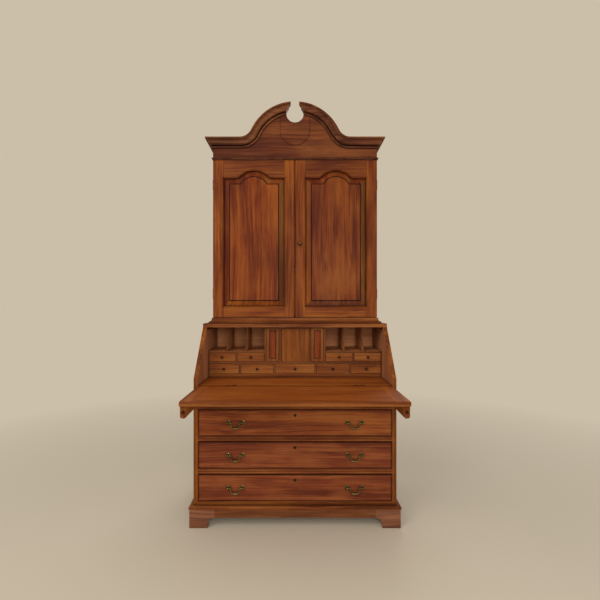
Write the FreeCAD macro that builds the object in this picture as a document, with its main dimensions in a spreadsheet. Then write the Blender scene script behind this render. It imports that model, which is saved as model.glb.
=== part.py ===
import FreeCAD, Part
import math
import operator
import os
import Sketcher

Vector = FreeCAD.Vector

# Driving sizes of the desk with its bookcase, in millimetres and degrees.
# The front faces -Y, +X is to the right and the floor is Z = 0.
sizes = {
    # Desk carcass
    "case_width": 1070,
    "case_depth": 560,
    "side_thickness": 22,
    "housing_depth": 8,
    "back_thickness": 12,
    "bottom_thickness": 20,
    "divider_thickness": 29,
    "divider_depth": 70,
    "divider_bead": 4,
    "drawer_opening": 142,
    "rail_height": 44,
    "rail_thickness": 24,
    "writing_thickness": 20,
    "interior_height": 298,
    "top_thickness": 22,
    "top_edge_round": 8,
    "runner_width": 40,
    "side_groove_inset": 12,
    "side_groove_width": 2.5,
    "side_groove_depth": 3,
    # Base
    "foot_height": 99,
    "foot_length": 130,
    "foot_width": 95,
    "foot_curve": 38,
    "skirt_low": 55,
    "skirt_reach": 18,
    "skirt_thickness": 22,
    "base_moulding_height": 14,
    "base_moulding_reach": 22,
    "base_moulding_inset": 25,
    "base_moulding_round": 8,
    "block_width": 45,
    "block_lift": 3,
    # Fall front
    "slant_angle": 49,
    "hinge_setback": 2,
    "fall_gap": 1,
    "fall_side_gap": 1.5,
    "seam": 1,
    "cleat_width": 62,
    "fall_edge_round": 9,
    "fall_edge_step": 1.5,
    "fall_hinge_inset": 109.5,
    "fall_lock_inset": 34,
    "stop_depth": 16,
    "stop_height": 12,
    "stop_length": 34,
    "stop_gap": 0.5,
    # Butt hinges
    "leaf_thickness": 1.4,
    "leaf_width": 15,
    "leaf_length": 60,
    "leaf_gap": 0.2,
    "barrel_radius": 3.1,
    "barrel_gap": 0.4,
    "pin_radius": 1.5,
    "pin_gap": 0.05,
    "knuckle_gap": 0.2,
    # Lopers
    "loper_width": 28,
    "loper_height": 58.4,
    "loper_gap": 1,
    "loper_lift": 0.3,
    "loper_setback": 22,
    "loper_back_gap": 48,
    "loper_round": 11,
    "guide_thickness": 16,
    # Long drawers
    "drawer_side_gap": 1.5,
    "drawer_lift": 0.3,
    "drawer_head_gap": 1.2,
    "front_thickness": 20,
    "bead_width": 4,
    "bead_rise": 3.5,
    "drawer_side": 12,
    "drawer_side_drop": 14,
    "drawer_back_gap": 48,
    "drawer_bottom": 8,
    "drawer_bottom_rise": 10,
    "handle_inset": 199,
    "handle_lift": 3,
    "handle_spacing": 78,
    "rosette_radius": 11,
    "rosette_thickness": 2.5,
    "stem_radius": 4,
    "head_radius": 7.5,
    "pivot_reach": 16,
    "bail_radius": 3.5,
    "bail_gap": 0.1,
    "bail_drop": 29,
    "bail_bend": 6.5,
    "bail_corner": 17,
    "bail_shoulder": 10,
    "bail_tail": 6,
    "keyhole_drop": 30,
    "keyhole_radius": 3,
    "escutcheon_radius": 7.5,
    "escutcheon_thickness": 1.5,
    "lock_width": 60,
    "lock_height": 44,
    "lock_thickness": 10,
    # Gallery
    "gallery_base": 20,
    "lower_opening": 60,
    "shelf_thickness": 12,
    "upper_opening": 54,
    "pigeonhole_floor": 8,
    "lower_partition": 8,
    "lower_centre_half": 118,
    "lower_inner_width": 196,
    "column_partition": 10,
    "prospect_half": 84,
    "document_opening": 76,
    "upper_partition": 6,
    "partition_sweep": 55,
    "partition_rise": 70,
    "partition_lip": 8,
    "small_gap": 0.8,
    "small_front": 12,
    "small_lip": 2.5,
    "small_side": 6,
    "small_bottom": 4,
    "small_side_drop": 6,
    "small_back_gap": 53,
    "sunk_margin": 17,
    "sunk_depth": 4,
    "sunk_border": 7,
    "sunk_field_rise": 2.5,
    "prospect_thickness": 14,
    "prospect_gap": 1.2,
    "pivot_radius": 2.5,
    "pivot_depth": 8,
    "header_height": 11,
    "header_depth": 30,
    "small_knob_radius": 6.5,
    "small_knob_stem": 5,
    # Bookcase
    "bookcase_inset": 51,
    "bookcase_setback": 290,
    "bookcase_side": 20,
    "bookcase_board": 20,
    "bookcase_shelf": 18,
    "bookcase_housing": 7,
    "mid_moulding_height": 32,
    "mid_moulding_reach": 22,
    "mid_nose": 12,
    "mid_neck": 6.6,
    "mid_ledge": 2.2,
    "door_height": 930,
    "door_thickness": 24,
    "door_gap": 1,
    "door_clearance": 2,
    "door_meeting": 1.5,
    "meeting_chamfer": 3.5,
    "door_hinge_inset": 110,
    "stile_width": 62,
    "bottom_rail": 66,
    "top_rail": 106,
    "panel_arch_half": 94,
    "panel_arch_rise": 44,
    "tongue_depth": 8,
    "tongue_thickness": 5,
    "tongue_setback": 14,
    "frame_chamfer": 6,
    "panel_gap": 1,
    "bevel_margin": 31,
    "bevel_rise": 9,
    "quirk_width": 6,
    "field_step": 2,
    "door_knob_radius": 10,
    "door_knob_stem": 7,
    "door_knob_place": 28,
    "door_knob_height": 436,
    # Frieze, cornice and pediment
    "frieze_bead_height": 14,
    "frieze_bead_reach": 8,
    "frieze_ledge": 3.5,
    "frieze_height": 52,
    "cornice_height": 55,
    "cornice_reach": 40,
    "cornice_nose": 1.5,
    "cornice_crown": 8,
    "cornice_bead": 12,
    "cornice_quirk": 4,
    "cornice_neck": 4,
    "pediment_rise": 205,
    "pediment_radius": 282,
    "pediment_foot_radius": 75,
    "tympanum_setdown": 18,
    "gap_width": 48,
    "gap_radius": 51,
    "gap_flare": 20,
    "gap_drop": 56,
    "plinth_half": 86,
    "plinth_thickness": 3,
    "plinth_foot": 20,
    "plinth_gap": 0.3,
    "cut_overrun": 5,
}
shelf_count = 2
back_board_count = 4
long_drawer_count = 3
pigeonholes_per_side = 3

doc = FreeCAD.newDocument("Escritoire")
sheet = doc.addObject("Spreadsheet::Sheet", "Sizes")
worked_out = doc.addObject("Spreadsheet::Sheet", "WorkedOut")


class Size:
    # A length or ratio with the spreadsheet expression that gives it.
    def __init__(self, value, text):
        self.value = value
        self.text = text

    def __add__(self, other):
        return join(self, "+", other)

    def __radd__(self, other):
        return join(other, "+", self)

    def __sub__(self, other):
        return join(self, "-", other)

    def __rsub__(self, other):
        return join(other, "-", self)

    def __mul__(self, other):
        return join(self, "*", other)

    def __rmul__(self, other):
        return join(other, "*", self)

    def __truediv__(self, other):
        return join(self, "/", other)

    def __neg__(self):
        return join(-1, "*", self)


signs = {"+": operator.add, "-": operator.sub, "*": operator.mul, "/": operator.truediv}


def as_size(item):
    if isinstance(item, Size):
        return item
    return Size(float(item), "(%r)" % float(item))


def join(left, sign, right):
    left = as_size(left)
    right = as_size(right)
    value = signs[sign](left.value, right.value)
    return Size(value, "(%s %s %s)" % (left.text, sign, right.text))


def root(item):
    return Size(math.sqrt(item.value), "sqrt(%s)" % item.text)


def cosine(item):
    return Size(math.cos(math.radians(item.value)), "cos(%s)" % item.text)


def sine(item):
    return Size(math.sin(math.radians(item.value)), "sin(%s)" % item.text)


class Named:
    pass


s = Named()
for row, (alias, value) in enumerate(sizes.items(), 1):
    sheet.set("A%d" % row, alias)
    sheet.set("B%d" % row, str(value))
    sheet.setAlias("B%d" % row, alias)
    setattr(s, alias, Size(float(value), "Sizes." + alias))

worked_out_names = []


def keep(alias, item):
    # A worked-out size gets a cell of its own, so that later expressions stay short.
    worked_out_names.append(alias)
    row = len(worked_out_names)
    worked_out.set("A%d" % row, alias)
    worked_out.set("B%d" % row, "=" + item.text)
    worked_out.setAlias("B%d" % row, alias)
    return Size(item.value, "WorkedOut." + alias)


# Levels of the desk, from the floor up
half = keep("half_width", s.case_width / 2)
inner = keep("inner_half_width", half - s.side_thickness)
case_bottom = keep("case_bottom", s.foot_height + s.base_moulding_height)
drawer_floor = keep("drawer_floor", case_bottom + s.bottom_thickness)
drawer_pitch = keep("drawer_pitch", s.drawer_opening + s.divider_thickness)
rail_bottom = keep("rail_bottom", drawer_floor + drawer_pitch * long_drawer_count - s.divider_thickness)
loper_floor = keep("loper_floor", rail_bottom + s.rail_height)
writing_underside = keep("writing_underside", loper_floor + s.loper_height + 2 * s.loper_lift)
writing_top = keep("writing_top", writing_underside + s.writing_thickness)
desk_ceiling = keep("desk_ceiling", writing_top + s.interior_height)
desk_top = keep("desk_top", desk_ceiling + s.top_thickness)

# The fall front turns on an axis just above the writing surface and shuts on the slant.
slant_cos = keep("slant_cosine", cosine(s.slant_angle))
slant_sin = keep("slant_sine", sine(s.slant_angle))
hinge_rise = keep("hinge_rise", s.barrel_radius + s.barrel_gap)
axis_z = keep("fall_axis_height", writing_top + hinge_rise)
fall_offset = keep("fall_outer_offset", hinge_rise + s.writing_thickness)
fall_headroom = desk_ceiling - s.fall_gap - axis_z - fall_offset * slant_cos
fall_reach = keep("fall_reach", fall_headroom / slant_sin)
front = keep("front_plane", (fall_reach - s.hinge_setback - s.case_depth) / 2)
back = keep("back_plane", front + s.case_depth)
inside_back = keep("inside_back", back - s.back_thickness)
axis_y = keep("fall_axis_place", front + s.hinge_setback)
fall_front_y = keep("fall_front_edge", axis_y - fall_reach)
fall_half = keep("fall_half_width", inner - s.fall_side_gap)
fall_hinge_x = keep("fall_hinge_place", fall_half - s.cleat_width - s.fall_hinge_inset)
ear_top = keep("ear_top", axis_z + (fall_offset - s.hinge_setback * slant_sin) / slant_cos)


def slant_y(height, offset):
    # Depth of a plane that lies parallel to the shut fall front, at a given height.
    return axis_y + ((height - axis_z) * slant_cos - offset) / slant_sin


slant_top_y = keep("slant_top", slant_y(desk_ceiling, fall_offset))
top_front_y = keep("top_front", axis_y + fall_reach * slant_cos - fall_offset * slant_sin + s.fall_gap)
stop_top_y = keep("stop_top", slant_y(desk_ceiling, hinge_rise) + s.stop_gap / slant_sin)
gallery_front = keep("gallery_front", stop_top_y + s.stop_depth)

# Levels and depths of the bookcase
book_half = keep("bookcase_half_width", half - s.bookcase_inset)
book_inner = keep("bookcase_inner_half", book_half - s.bookcase_side)
book_front = keep("bookcase_front", front + s.bookcase_setback)
face = keep("bookcase_face", book_front - s.door_gap - s.door_thickness)
book_floor = keep("bookcase_floor", desk_top + s.mid_moulding_height)
door_bottom = keep("door_bottom", book_floor + s.door_clearance)
door_top = keep("door_top", door_bottom + s.door_height)
frieze_bottom = keep("frieze_bottom", door_top + s.door_clearance)
frieze_top = keep("frieze_top", frieze_bottom + s.frieze_bead_height + s.frieze_height)
cornice_top = keep("cornice_top", frieze_top + s.cornice_height)


def number(item):
    return as_size(item).value


def bind(thing, name, item):
    thing.setExpression(name, as_size(item).text)


def place(thing, x, y, z):
    bind(thing, "Placement.Base.x", x)
    bind(thing, "Placement.Base.y", y)
    bind(thing, "Placement.Base.z", z)


def add(kind, label):
    thing = doc.addObject(kind, label)
    thing.Label = label
    return thing


def board(label, x, y, z):
    # A squared board between two planes each way.
    box = add("Part::Box", label)
    bind(box, "Length", x[1] - x[0])
    bind(box, "Width", y[1] - y[0])
    bind(box, "Height", z[1] - z[0])
    place(box, x[0], y[0], z[0])
    return box


def cylinder(label, radius, length, x, y, z, direction=Vector(0, 0, 1)):
    rod = add("Part::Cylinder", label)
    turn = FreeCAD.Rotation(Vector(0, 0, 1), direction)
    rod.Placement = FreeCAD.Placement(Vector(0, 0, 0), turn)
    bind(rod, "Radius", radius)
    bind(rod, "Height", length)
    place(rod, x, y, z)
    return rod


def group(label, members):
    bundle = add("Part::Compound", label)
    bundle.Links = members
    return bundle


def cut(label, base, tools):
    trimmed = add("Part::Cut", label)
    trimmed.Base = base
    trimmed.Tool = tools[0] if len(tools) == 1 else group(label + "_cutters", tools)
    return trimmed


def common(label, base, tool):
    shared = add("Part::Common", label)
    shared.Base = base
    shared.Tool = tool
    return shared


def mirrored(label, source):
    # The same piece on the other side of the middle plane.
    other = add("Part::Mirroring", label)
    other.Source = source
    other.Normal = Vector(1, 0, 0)
    return other


class Arc:
    # Joins the point before it to the point after it, round a centre, the short way.
    def __init__(self, centre, radius):
        self.centre = centre
        self.radius = radius


def flat(point):
    return Vector(number(point[0]), number(point[1]), 0)


def curve_between(start, end, arc):
    centre = flat(arc.centre)
    middle = (start + end) / 2 - centre
    middle.normalize()
    return Part.Arc(start, centre + middle * number(arc.radius), end)


def fix_point(sketch, edge, position, point):
    for kind, item in (("DistanceX", point[0]), ("DistanceY", point[1])):
        rule = Sketcher.Constraint(kind, -1, 1, edge, position, number(item))
        index = sketch.addConstraint(rule)
        bind(sketch, "Constraints[%d]" % index, item)


def fix_radius(sketch, edge, radius):
    index = sketch.addConstraint(Sketcher.Constraint("Radius", edge, number(radius)))
    bind(sketch, "Constraints[%d]" % index, radius)


def draw(sketch, items, closed=True):
    # Points joined by lines, or by an arc where one stands between them.
    points = [item for item in items if not isinstance(item, Arc)]
    arcs = {}
    passed = 0
    for item in items:
        if isinstance(item, Arc):
            arcs[passed - 1] = item
        else:
            passed += 1
    edge_count = len(points) if closed else len(points) - 1
    ends = []
    for index in range(edge_count):
        start = flat(points[index])
        end = flat(points[(index + 1) % len(points)])
        shape = Part.LineSegment(start, end)
        if index in arcs:
            shape = curve_between(start, end, arcs[index])
        edge = sketch.addGeometry(shape)
        begins_at_start = sketch.getPoint(edge, 1).distanceToPoint(start) < 1e-6
        ends.append((edge, 1, 2) if begins_at_start else (edge, 2, 1))
    for index in range(edge_count if closed else edge_count - 1):
        this = ends[index]
        following = ends[(index + 1) % edge_count]
        sketch.addConstraint(Sketcher.Constraint("Coincident", this[0], this[2], following[0], following[1]))
    for index in range(edge_count):
        fix_point(sketch, ends[index][0], ends[index][1], points[index])
    if not closed:
        fix_point(sketch, ends[-1][0], ends[-1][2], points[-1])
    for index, arc in arcs.items():
        fix_radius(sketch, ends[index][0], arc.radius)


def sketch_on(body, plane, level, items, closed=True):
    # A sketch parallel to one of the body's own planes, at a level along that plane's axis.
    sketch = body.newObject("Sketcher::SketchObject", body.Name + "_outline")
    base = [item for item in body.Origin.OriginFeatures if item.Role == plane + "_Plane"][0]
    sketch.AttachmentSupport = [(base, "")]
    sketch.MapMode = "FlatFace"
    bind(sketch, "AttachmentOffset.Base.z", -level if plane == "XZ" else level)
    draw(sketch, items, closed)
    return sketch


def pad_on(body, sketch, length):
    pad = body.newObject("PartDesign::Pad", body.Name + "_pad")
    pad.Profile = sketch
    bind(pad, "Length", length)
    return pad


def prism(label, plane, items, low, high):
    # An outline padded between two levels; on XZ the pad runs towards the front.
    body = add("PartDesign::Body", label)
    sketch = sketch_on(body, plane, high if plane == "XZ" else low, items)
    pad_on(body, sketch, high - low)
    return body


def loft_on(body, first, second):
    loft = body.newObject("PartDesign::AdditiveLoft", body.Name + "_loft")
    loft.Profile = first
    loft.Sections = [second]
    loft.Ruled = True
    return loft


def turned(label, items, x, y, z):
    # A lathe-turned piece on an axis along Y; its outline is (radius, reach to the front).
    body = add("PartDesign::Body", label)
    outline = []
    for item in items:
        if isinstance(item, Arc):
            outline.append(Arc((item.centre[0], -item.centre[1]), item.radius))
        else:
            outline.append((item[0], -item[1]))
    sketch = sketch_on(body, "XY", as_size(0), outline)
    turn = body.newObject("PartDesign::Revolution", label + "_turning")
    turn.Profile = sketch
    turn.ReferenceAxis = (sketch, ["V_Axis"])
    turn.Angle = 360
    place(body, x, y, z)
    return body


def piped(label, path, path_y, section):
    # A section drawn across the start of a path that lies in an upright plane.
    body = add("PartDesign::Body", label)
    spine = sketch_on(body, "XZ", path_y, path, closed=False)
    outline = section(body, path[0])
    pipe = body.newObject("PartDesign::AdditivePipe", label + "_pipe")
    pipe.Profile = outline
    points = len([item for item in path if not isinstance(item, Arc)])
    pipe.Spine = (spine, ["Edge%d" % (index + 1) for index in range(points - 1)])
    return body


def rectangle(a, b):
    return [(a[0], b[0]), (a[1], b[0]), (a[1], b[1]), (a[0], b[1])]


def drawn_in(span, margin):
    return (span[0] + margin, span[1] - margin)


def moved(items, move):
    # The same outline with every point and arc centre put through one change of place.
    result = []
    for item in items:
        if isinstance(item, Arc):
            result.append(Arc(move(*item.centre), item.radius))
        else:
            result.append(move(*item))
    return result


def both_sides(x):
    return ((-x[1], -x[0]), (x[0], x[1]))


def return_outline(profile, side, half_width, low):
    return moved(profile, lambda u, v: (side * (half_width + u), low + v))


def moulding_returns(label, profile, half_width, face_y, low, height, reach, side_inset):
    # The two side runs of a moulding, mitred to the front run.
    pieces = []
    out = reach + s.cut_overrun
    for side, word in ((-1, "left"), (1, "right")):
        outline = return_outline(profile, side, half_width, low)
        run = prism("%s_%s_run" % (label, word), "XZ", outline, face_y - reach, back)
        plan = [
            (side * (half_width - side_inset), face_y + side_inset),
            (side * (half_width + out), face_y - out),
            (side * (half_width + out), back + s.cut_overrun),
            (side * (half_width - side_inset), back + s.cut_overrun),
        ]
        tall = (low - s.cut_overrun, low + height + s.cut_overrun)
        mitre = prism("%s_%s_mitre" % (label, word), "XY", plan, *tall)
        pieces.append(common("%s_%s" % (label, word), run, mitre))
    return pieces


def front_mitre(label, half_width, face_y, low, height, reach, front_inset, side_inset):
    # Plan shape that mitres the two ends of a front run.
    out = reach + s.cut_overrun
    plan = [
        (-(half_width + out), face_y - out),
        (half_width + out, face_y - out),
        (half_width - side_inset, face_y + side_inset),
    ]
    if front_inset is not side_inset:
        plan.append((half_width - side_inset, face_y + front_inset))
        plan.append((-(half_width - side_inset), face_y + front_inset))
    plan.append((-(half_width - side_inset), face_y + side_inset))
    return prism(label, "XY", plan, low - s.cut_overrun, low + height + s.cut_overrun)


def moulding(label, front_profile, side_profile, half_width, face_y, low, height, reach, insets):
    # A moulding round the front and two sides, mitred at both corners.
    outline = moved(front_profile, lambda u, v: (face_y - u, low + v))
    run = prism(label + "_front_run", "YZ", outline, -(half_width + reach), half_width + reach)
    mitre = front_mitre(label + "_front_mitre", half_width, face_y, low, height, reach, *insets)
    pieces = [common(label + "_front", run, mitre)]
    pieces += moulding_returns(label, side_profile, half_width, face_y, low, height, reach, insets[1])
    return group(label, pieces)


def hinge_leaf(label, side, knuckles):
    # One leaf of a butt hinge: a plate on one side of the joint, with its share of the barrel.
    near = s.leaf_gap / 2
    far = near + s.leaf_thickness
    depth = (near, far) if side > 0 else (-far, -near)
    plate_x = (-(hinge_rise + s.leaf_width), -hinge_rise)
    zero = as_size(0)
    pieces = [board(label + "_plate", plate_x, depth, (zero, s.leaf_length))]
    tab_x = (-hinge_rise, -(s.pin_radius + s.barrel_radius) / 2)
    for index, (low, high) in enumerate(knuckles):
        name = "%s_knuckle_%d" % (label, index + 1)
        pieces.append(board(name + "_tab", tab_x, depth, (low, high)))
        pieces.append(cylinder(name, s.barrel_radius, high - low, zero, zero, low))
    solid = add("Part::MultiFuse", label + "_solid")
    solid.Shapes = pieces
    bore = cylinder(label + "_bore", s.pin_radius + s.pin_gap, s.leaf_length + 2 * s.cut_overrun,
                    zero, zero, -s.cut_overrun)
    return cut(label, solid, [bore])


third = keep("knuckle_length", s.leaf_length / 3)
outer_knuckles = [(as_size(0), third), (2 * third, s.leaf_length)]
middle_knuckle = [(third + s.knuckle_gap, 2 * third - s.knuckle_gap)]
gain_depth = keep("gain_depth", s.leaf_thickness + s.leaf_gap / 2 - s.seam / 2)
upright = FreeCAD.Rotation()
turned_round = FreeCAD.Rotation(Vector(0, 0, 1), 180)
lying = FreeCAD.Rotation(Vector(0, 1, 0), -90)


def set_hinge(label, turn, fixed_side, x, y, z):
    # The two leaves and the pin of one hinge, turned to its axis and put in place.
    fixed = hinge_leaf(label + "_fixed_leaf", fixed_side, outer_knuckles)
    moving = hinge_leaf(label + "_moving_leaf", -fixed_side, middle_knuckle)
    zero = as_size(0)
    pin = cylinder(label + "_pin", s.pin_radius, s.leaf_length, zero, zero, zero)
    for piece in (fixed, moving, pin):
        piece.Placement = FreeCAD.Placement(Vector(0, 0, 0), turn)
        place(piece, x, y, z)
    return fixed, moving, pin


# Base moulding with a rounded upper edge, laid under the carcass
def make_base_moulding():
    reach = s.base_moulding_reach
    height = s.base_moulding_height
    rounding = s.base_moulding_round
    inset = s.base_moulding_inset
    profile = [
        (-inset, as_size(0)),
        (reach, as_size(0)),
        (reach, height - rounding),
        Arc((reach - rounding, height - rounding), rounding),
        (reach - rounding, height),
        (-inset, height),
    ]
    return moulding("base_moulding", profile, profile, half, front, s.foot_height, height, reach,
                    (inset, inset))


# Skirt rails between the feet
skirt_out = keep("skirt_half_width", half + s.skirt_reach)
skirt_front = keep("skirt_front", front - s.skirt_reach)
skirt_behind = keep("skirt_behind", skirt_front + s.skirt_thickness)
skirt_inner = keep("skirt_inner_half", skirt_out - s.skirt_thickness)


def make_skirt_rails():
    tall = (s.skirt_low, s.foot_height)
    front_x = skirt_out - s.foot_length
    pieces = [board("front_skirt", (-front_x, front_x), (skirt_front, skirt_behind), tall)]
    along = (skirt_behind + s.foot_length, back - s.foot_length)
    for word, x in zip(("left", "right"), both_sides((skirt_inner, skirt_out))):
        pieces.append(board("%s_skirt" % word, x, along, tall))
    return group("skirt_rails", pieces)


def bracket(outer, inward, low_end):
    # Outline of a bracket: a leg that curves out into the skirt.
    return [
        (outer, as_size(0)),
        (outer, s.foot_height),
        (outer + inward * s.foot_length, s.foot_height),
        (outer + inward * s.foot_length, s.skirt_low),
        (outer + inward * (s.foot_width + s.foot_curve), s.skirt_low),
        Arc((outer + inward * (s.foot_width + s.foot_curve), low_end), s.foot_curve),
        (outer + inward * s.foot_width, low_end),
        (outer + inward * s.foot_width, as_size(0)),
    ]


# Bracket feet: faces to the front, the sides and the back, with a block in each corner
def make_bracket_feet():
    curve_low = s.skirt_low - s.foot_curve
    pieces = []
    for side, word in ((-1, "left"), (1, "right")):
        x = (skirt_inner, skirt_out) if side > 0 else (-skirt_out, -skirt_inner)
        outline = bracket(side * skirt_out, -side, curve_low)
        pieces.append(prism(word + "_front_bracket", "XZ", outline, skirt_front, skirt_behind))
        outline = bracket(skirt_behind, 1, curve_low)
        pieces.append(prism(word + "_fore_side_bracket", "YZ", outline, *x))
        outline = bracket(back, -1, curve_low)
        pieces.append(prism(word + "_rear_side_bracket", "YZ", outline, *x))
        outline = bracket(side * skirt_inner, -side, curve_low)
        pieces.append(prism(word + "_rear_bracket", "XZ", outline, back - s.skirt_thickness, back))
        block_x = (skirt_inner - s.block_width, skirt_inner)
        block_x = block_x if side > 0 else (-block_x[1], -block_x[0])
        block_z = (s.block_lift, s.foot_height)
        fore = (skirt_behind, skirt_behind + s.block_width)
        rear = (back - s.skirt_thickness - s.block_width, back - s.skirt_thickness)
        pieces.append(board(word + "_fore_block", block_x, fore, block_z))
        pieces.append(board(word + "_rear_block", block_x, rear, block_z))
    return group("bracket_feet", pieces)


# Horizontal members of the desk, let into the sides
housed = (-(inner + s.housing_depth), inner + s.housing_depth)


def opening_low(level):
    # Floor of a long drawer's opening, counted from the bottom.
    return drawer_floor + drawer_pitch * level


def make_desk_bottom():
    return board("desk_bottom_board", housed, (front, inside_back), (case_bottom, drawer_floor))


def double_bead(low):
    # A divider's section: two flat rounds, one above the other, on its front edge.
    half_round = s.divider_thickness / 4
    rise = s.divider_bead
    radius = (half_round * half_round + rise * rise) / (2 * rise)
    high = low + s.divider_thickness
    return [
        (front + rise, low),
        Arc((front + radius, low + half_round), radius),
        (front + rise, low + 2 * half_round),
        Arc((front + radius, high - half_round), radius),
        (front + rise, high),
        (front + s.divider_depth, high),
        (front + s.divider_depth, low),
    ]


def make_drawer_dividers():
    pieces = []
    for level in range(1, long_drawer_count):
        low = opening_low(level) - s.divider_thickness
        pieces.append(prism("divider_%d" % level, "YZ", double_bead(low), *housed))
    deep = (front, front + s.rail_thickness)
    pieces.append(board("upper_rail", housed, deep, (rail_bottom, loper_floor)))
    slot = inner - loper_slot
    pieces.append(board("loper_fascia", (-slot, slot), deep, (loper_floor, writing_underside)))
    return pieces


loper_slot = keep("loper_slot", s.loper_width + 2 * s.loper_gap)


def make_drawer_runners():
    pieces = []
    for level in range(1, long_drawer_count):
        tall = (opening_low(level) - s.divider_thickness, opening_low(level))
        for x in both_sides((inner - s.runner_width, inner)):
            pieces.append(board("drawer_runner", x, (front + s.divider_depth, inside_back), tall))
    deep = (front + s.rail_thickness, inside_back)
    for x in both_sides((inner - loper_slot - s.guide_thickness, inner)):
        tall = (loper_floor - s.divider_thickness, loper_floor)
        pieces.append(board("loper_runner", x, deep, tall))
    for x in both_sides((inner - loper_slot - s.guide_thickness, inner - loper_slot)):
        pieces.append(board("loper_guide", x, deep, (loper_floor, writing_underside)))
    return group("drawer_runners", pieces)


gain_half = keep("gain_half_length", s.leaf_length / 2)
fall_seam_back = keep("fall_seam_back", axis_y + s.seam / 2)
fall_seam_front = keep("fall_seam_front", axis_y - s.seam / 2)


def fall_gains(word, y):
    # Shallow beds for the leaves in the two edges that meet at the hinge line.
    beds = []
    low = writing_top - s.leaf_width
    for side in (-1, 1):
        middle = side * fall_hinge_x
        x = (middle - gain_half, middle + gain_half)
        beds.append(board("%s_gain" % word, x, y, (low, writing_top + s.cut_overrun)))
    return beds


def make_writing_board():
    tall = (writing_underside, writing_top)
    whole = board("writing_board_blank", housed, (fall_seam_back, inside_back), tall)
    beds = fall_gains("writing_board", (fall_seam_back - s.cut_overrun, fall_seam_back + gain_depth))
    return cut("writing_board", whole, beds)


def make_desk_sides(housed_boards):
    profile = [
        (front, case_bottom),
        (front, ear_top),
        (slant_top_y, desk_ceiling),
        (back, desk_ceiling),
        (back, case_bottom),
    ]
    housings = group("desk_housings", housed_boards)
    groove_x = (inner + s.side_groove_inset, inner + s.side_groove_inset + s.side_groove_width)
    groove_y = (front - s.cut_overrun, front + s.side_groove_depth)
    groove_z = (case_bottom - s.cut_overrun, ear_top + s.cut_overrun)
    sides = []
    for word, x, line in zip(("left", "right"), both_sides((inner, half)), both_sides(groove_x)):
        blank = prism("desk_side_%s_blank" % word, "YZ", profile, *x)
        groove = board("desk_side_%s_groove" % word, line, groove_y, groove_z)
        sides.append(cut("desk_side_" + word, blank, [housings, groove]))
    return sides


# Desk top with a rounded front edge, and the stops that the shut fall front rests on
def make_desk_top():
    rounding = s.top_edge_round
    profile = [
        (top_front_y, desk_ceiling),
        (top_front_y, desk_top - rounding),
        Arc((top_front_y + rounding, desk_top - rounding), rounding),
        (top_front_y + rounding, desk_top),
        (back, desk_top),
        (back, desk_ceiling),
    ]
    pieces = [prism("desk_top_plank", "YZ", profile, -half, half)]
    stop_low = desk_ceiling - s.stop_height
    stop_back = stop_top_y + s.stop_depth
    stop_profile = [
        (stop_top_y, desk_ceiling),
        (slant_y(stop_low, hinge_rise) + s.stop_gap / slant_sin, stop_low),
        (stop_back, stop_low),
        (stop_back, desk_ceiling),
    ]
    for x in both_sides((inner - s.stop_length, inner)):
        pieces.append(prism("fall_stop", "YZ", stop_profile, *x))
    return group("desk_top_board", pieces)


def make_desk_back():
    pieces = []
    tall = (desk_ceiling - case_bottom) / back_board_count
    for index in range(back_board_count):
        low = case_bottom + tall * index
        pieces.append(board("desk_back_plank", (-inner, inner), (inside_back, back), (low, low + tall)))
    return group("desk_back_boards", pieces)


# Fall front: a board between two end cleats, with a thumb-moulded front edge
def fall_profile():
    rounding = s.fall_edge_round
    low = writing_underside
    high = writing_top
    step_low = high - s.fall_edge_step
    return [
        (fall_seam_front, low),
        (fall_seam_front, high),
        (fall_front_y + rounding, high),
        (fall_front_y + rounding, step_low),
        Arc((fall_front_y + rounding, step_low - rounding), rounding),
        (fall_front_y, step_low - rounding),
        (fall_front_y, low),
    ]


def make_fall_front():
    inside = fall_half - s.cleat_width
    blank = prism("fall_board_blank", "YZ", fall_profile(), -inside, inside)
    beds = fall_gains("fall_board", (fall_seam_front - gain_depth, fall_seam_front + s.cut_overrun))
    lock_y = fall_front_y + s.fall_lock_inset
    depth = s.writing_thickness / 2
    keyway = cylinder("fall_keyway", s.keyhole_radius, depth + s.cut_overrun, as_size(0), lock_y,
                      writing_underside - s.cut_overrun)
    plank = cut("lid_board", blank, beds + [keyway])
    cleats = []
    for x in both_sides((inside, fall_half)):
        cleats.append(prism("end_cleat", "YZ", fall_profile(), *x))
    ring = cylinder("fall_escutcheon_blank", s.escutcheon_radius, s.escutcheon_thickness, as_size(0), lock_y,
                    writing_underside - s.escutcheon_thickness)
    hole = cylinder("fall_escutcheon_hole", s.keyhole_radius, 2 * s.cut_overrun, as_size(0), lock_y,
                    writing_underside - s.cut_overrun)
    return plank, group("lid_end_cleats", cleats), cut("fall_escutcheon", ring, [hole])


# Lopers: bars with rounded lower edges and a small turned knob
loper_front_y = keep("loper_front", fall_front_y + s.loper_setback)
loper_low = keep("loper_low", loper_floor + s.loper_lift)
loper_high = keep("loper_high", loper_low + s.loper_height)
loper_back_y = keep("loper_back", inside_back - s.loper_back_gap - (front - loper_front_y))


# Shares of a turned knob: foot and neck of the head's radius, and their tops of the stem's length
knob_foot_share = 0.8
knob_neck_share = 0.55
knob_foot_rise = 0.35
knob_neck_rise = 0.75


def ball_on_stem(stem, low, radius):
    # The end of a turned outline: a ball that rises out of a stem at a given height.
    middle = low + root(radius * radius - stem * stem)
    centre = (as_size(0), middle)
    return [
        (stem, low),
        Arc(centre, radius),
        (radius, middle),
        Arc(centre, radius),
        (as_size(0), middle + radius),
    ]


def knob_outline(radius, stem_length):
    # A plain turned knob: foot, waist and ball head.
    foot = radius * knob_foot_share
    neck = radius * knob_neck_share
    base = [
        (as_size(0), as_size(0)),
        (foot, as_size(0)),
        (foot, stem_length * knob_foot_rise),
        (neck, stem_length * knob_neck_rise),
    ]
    return base + ball_on_stem(neck, stem_length, radius)


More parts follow.
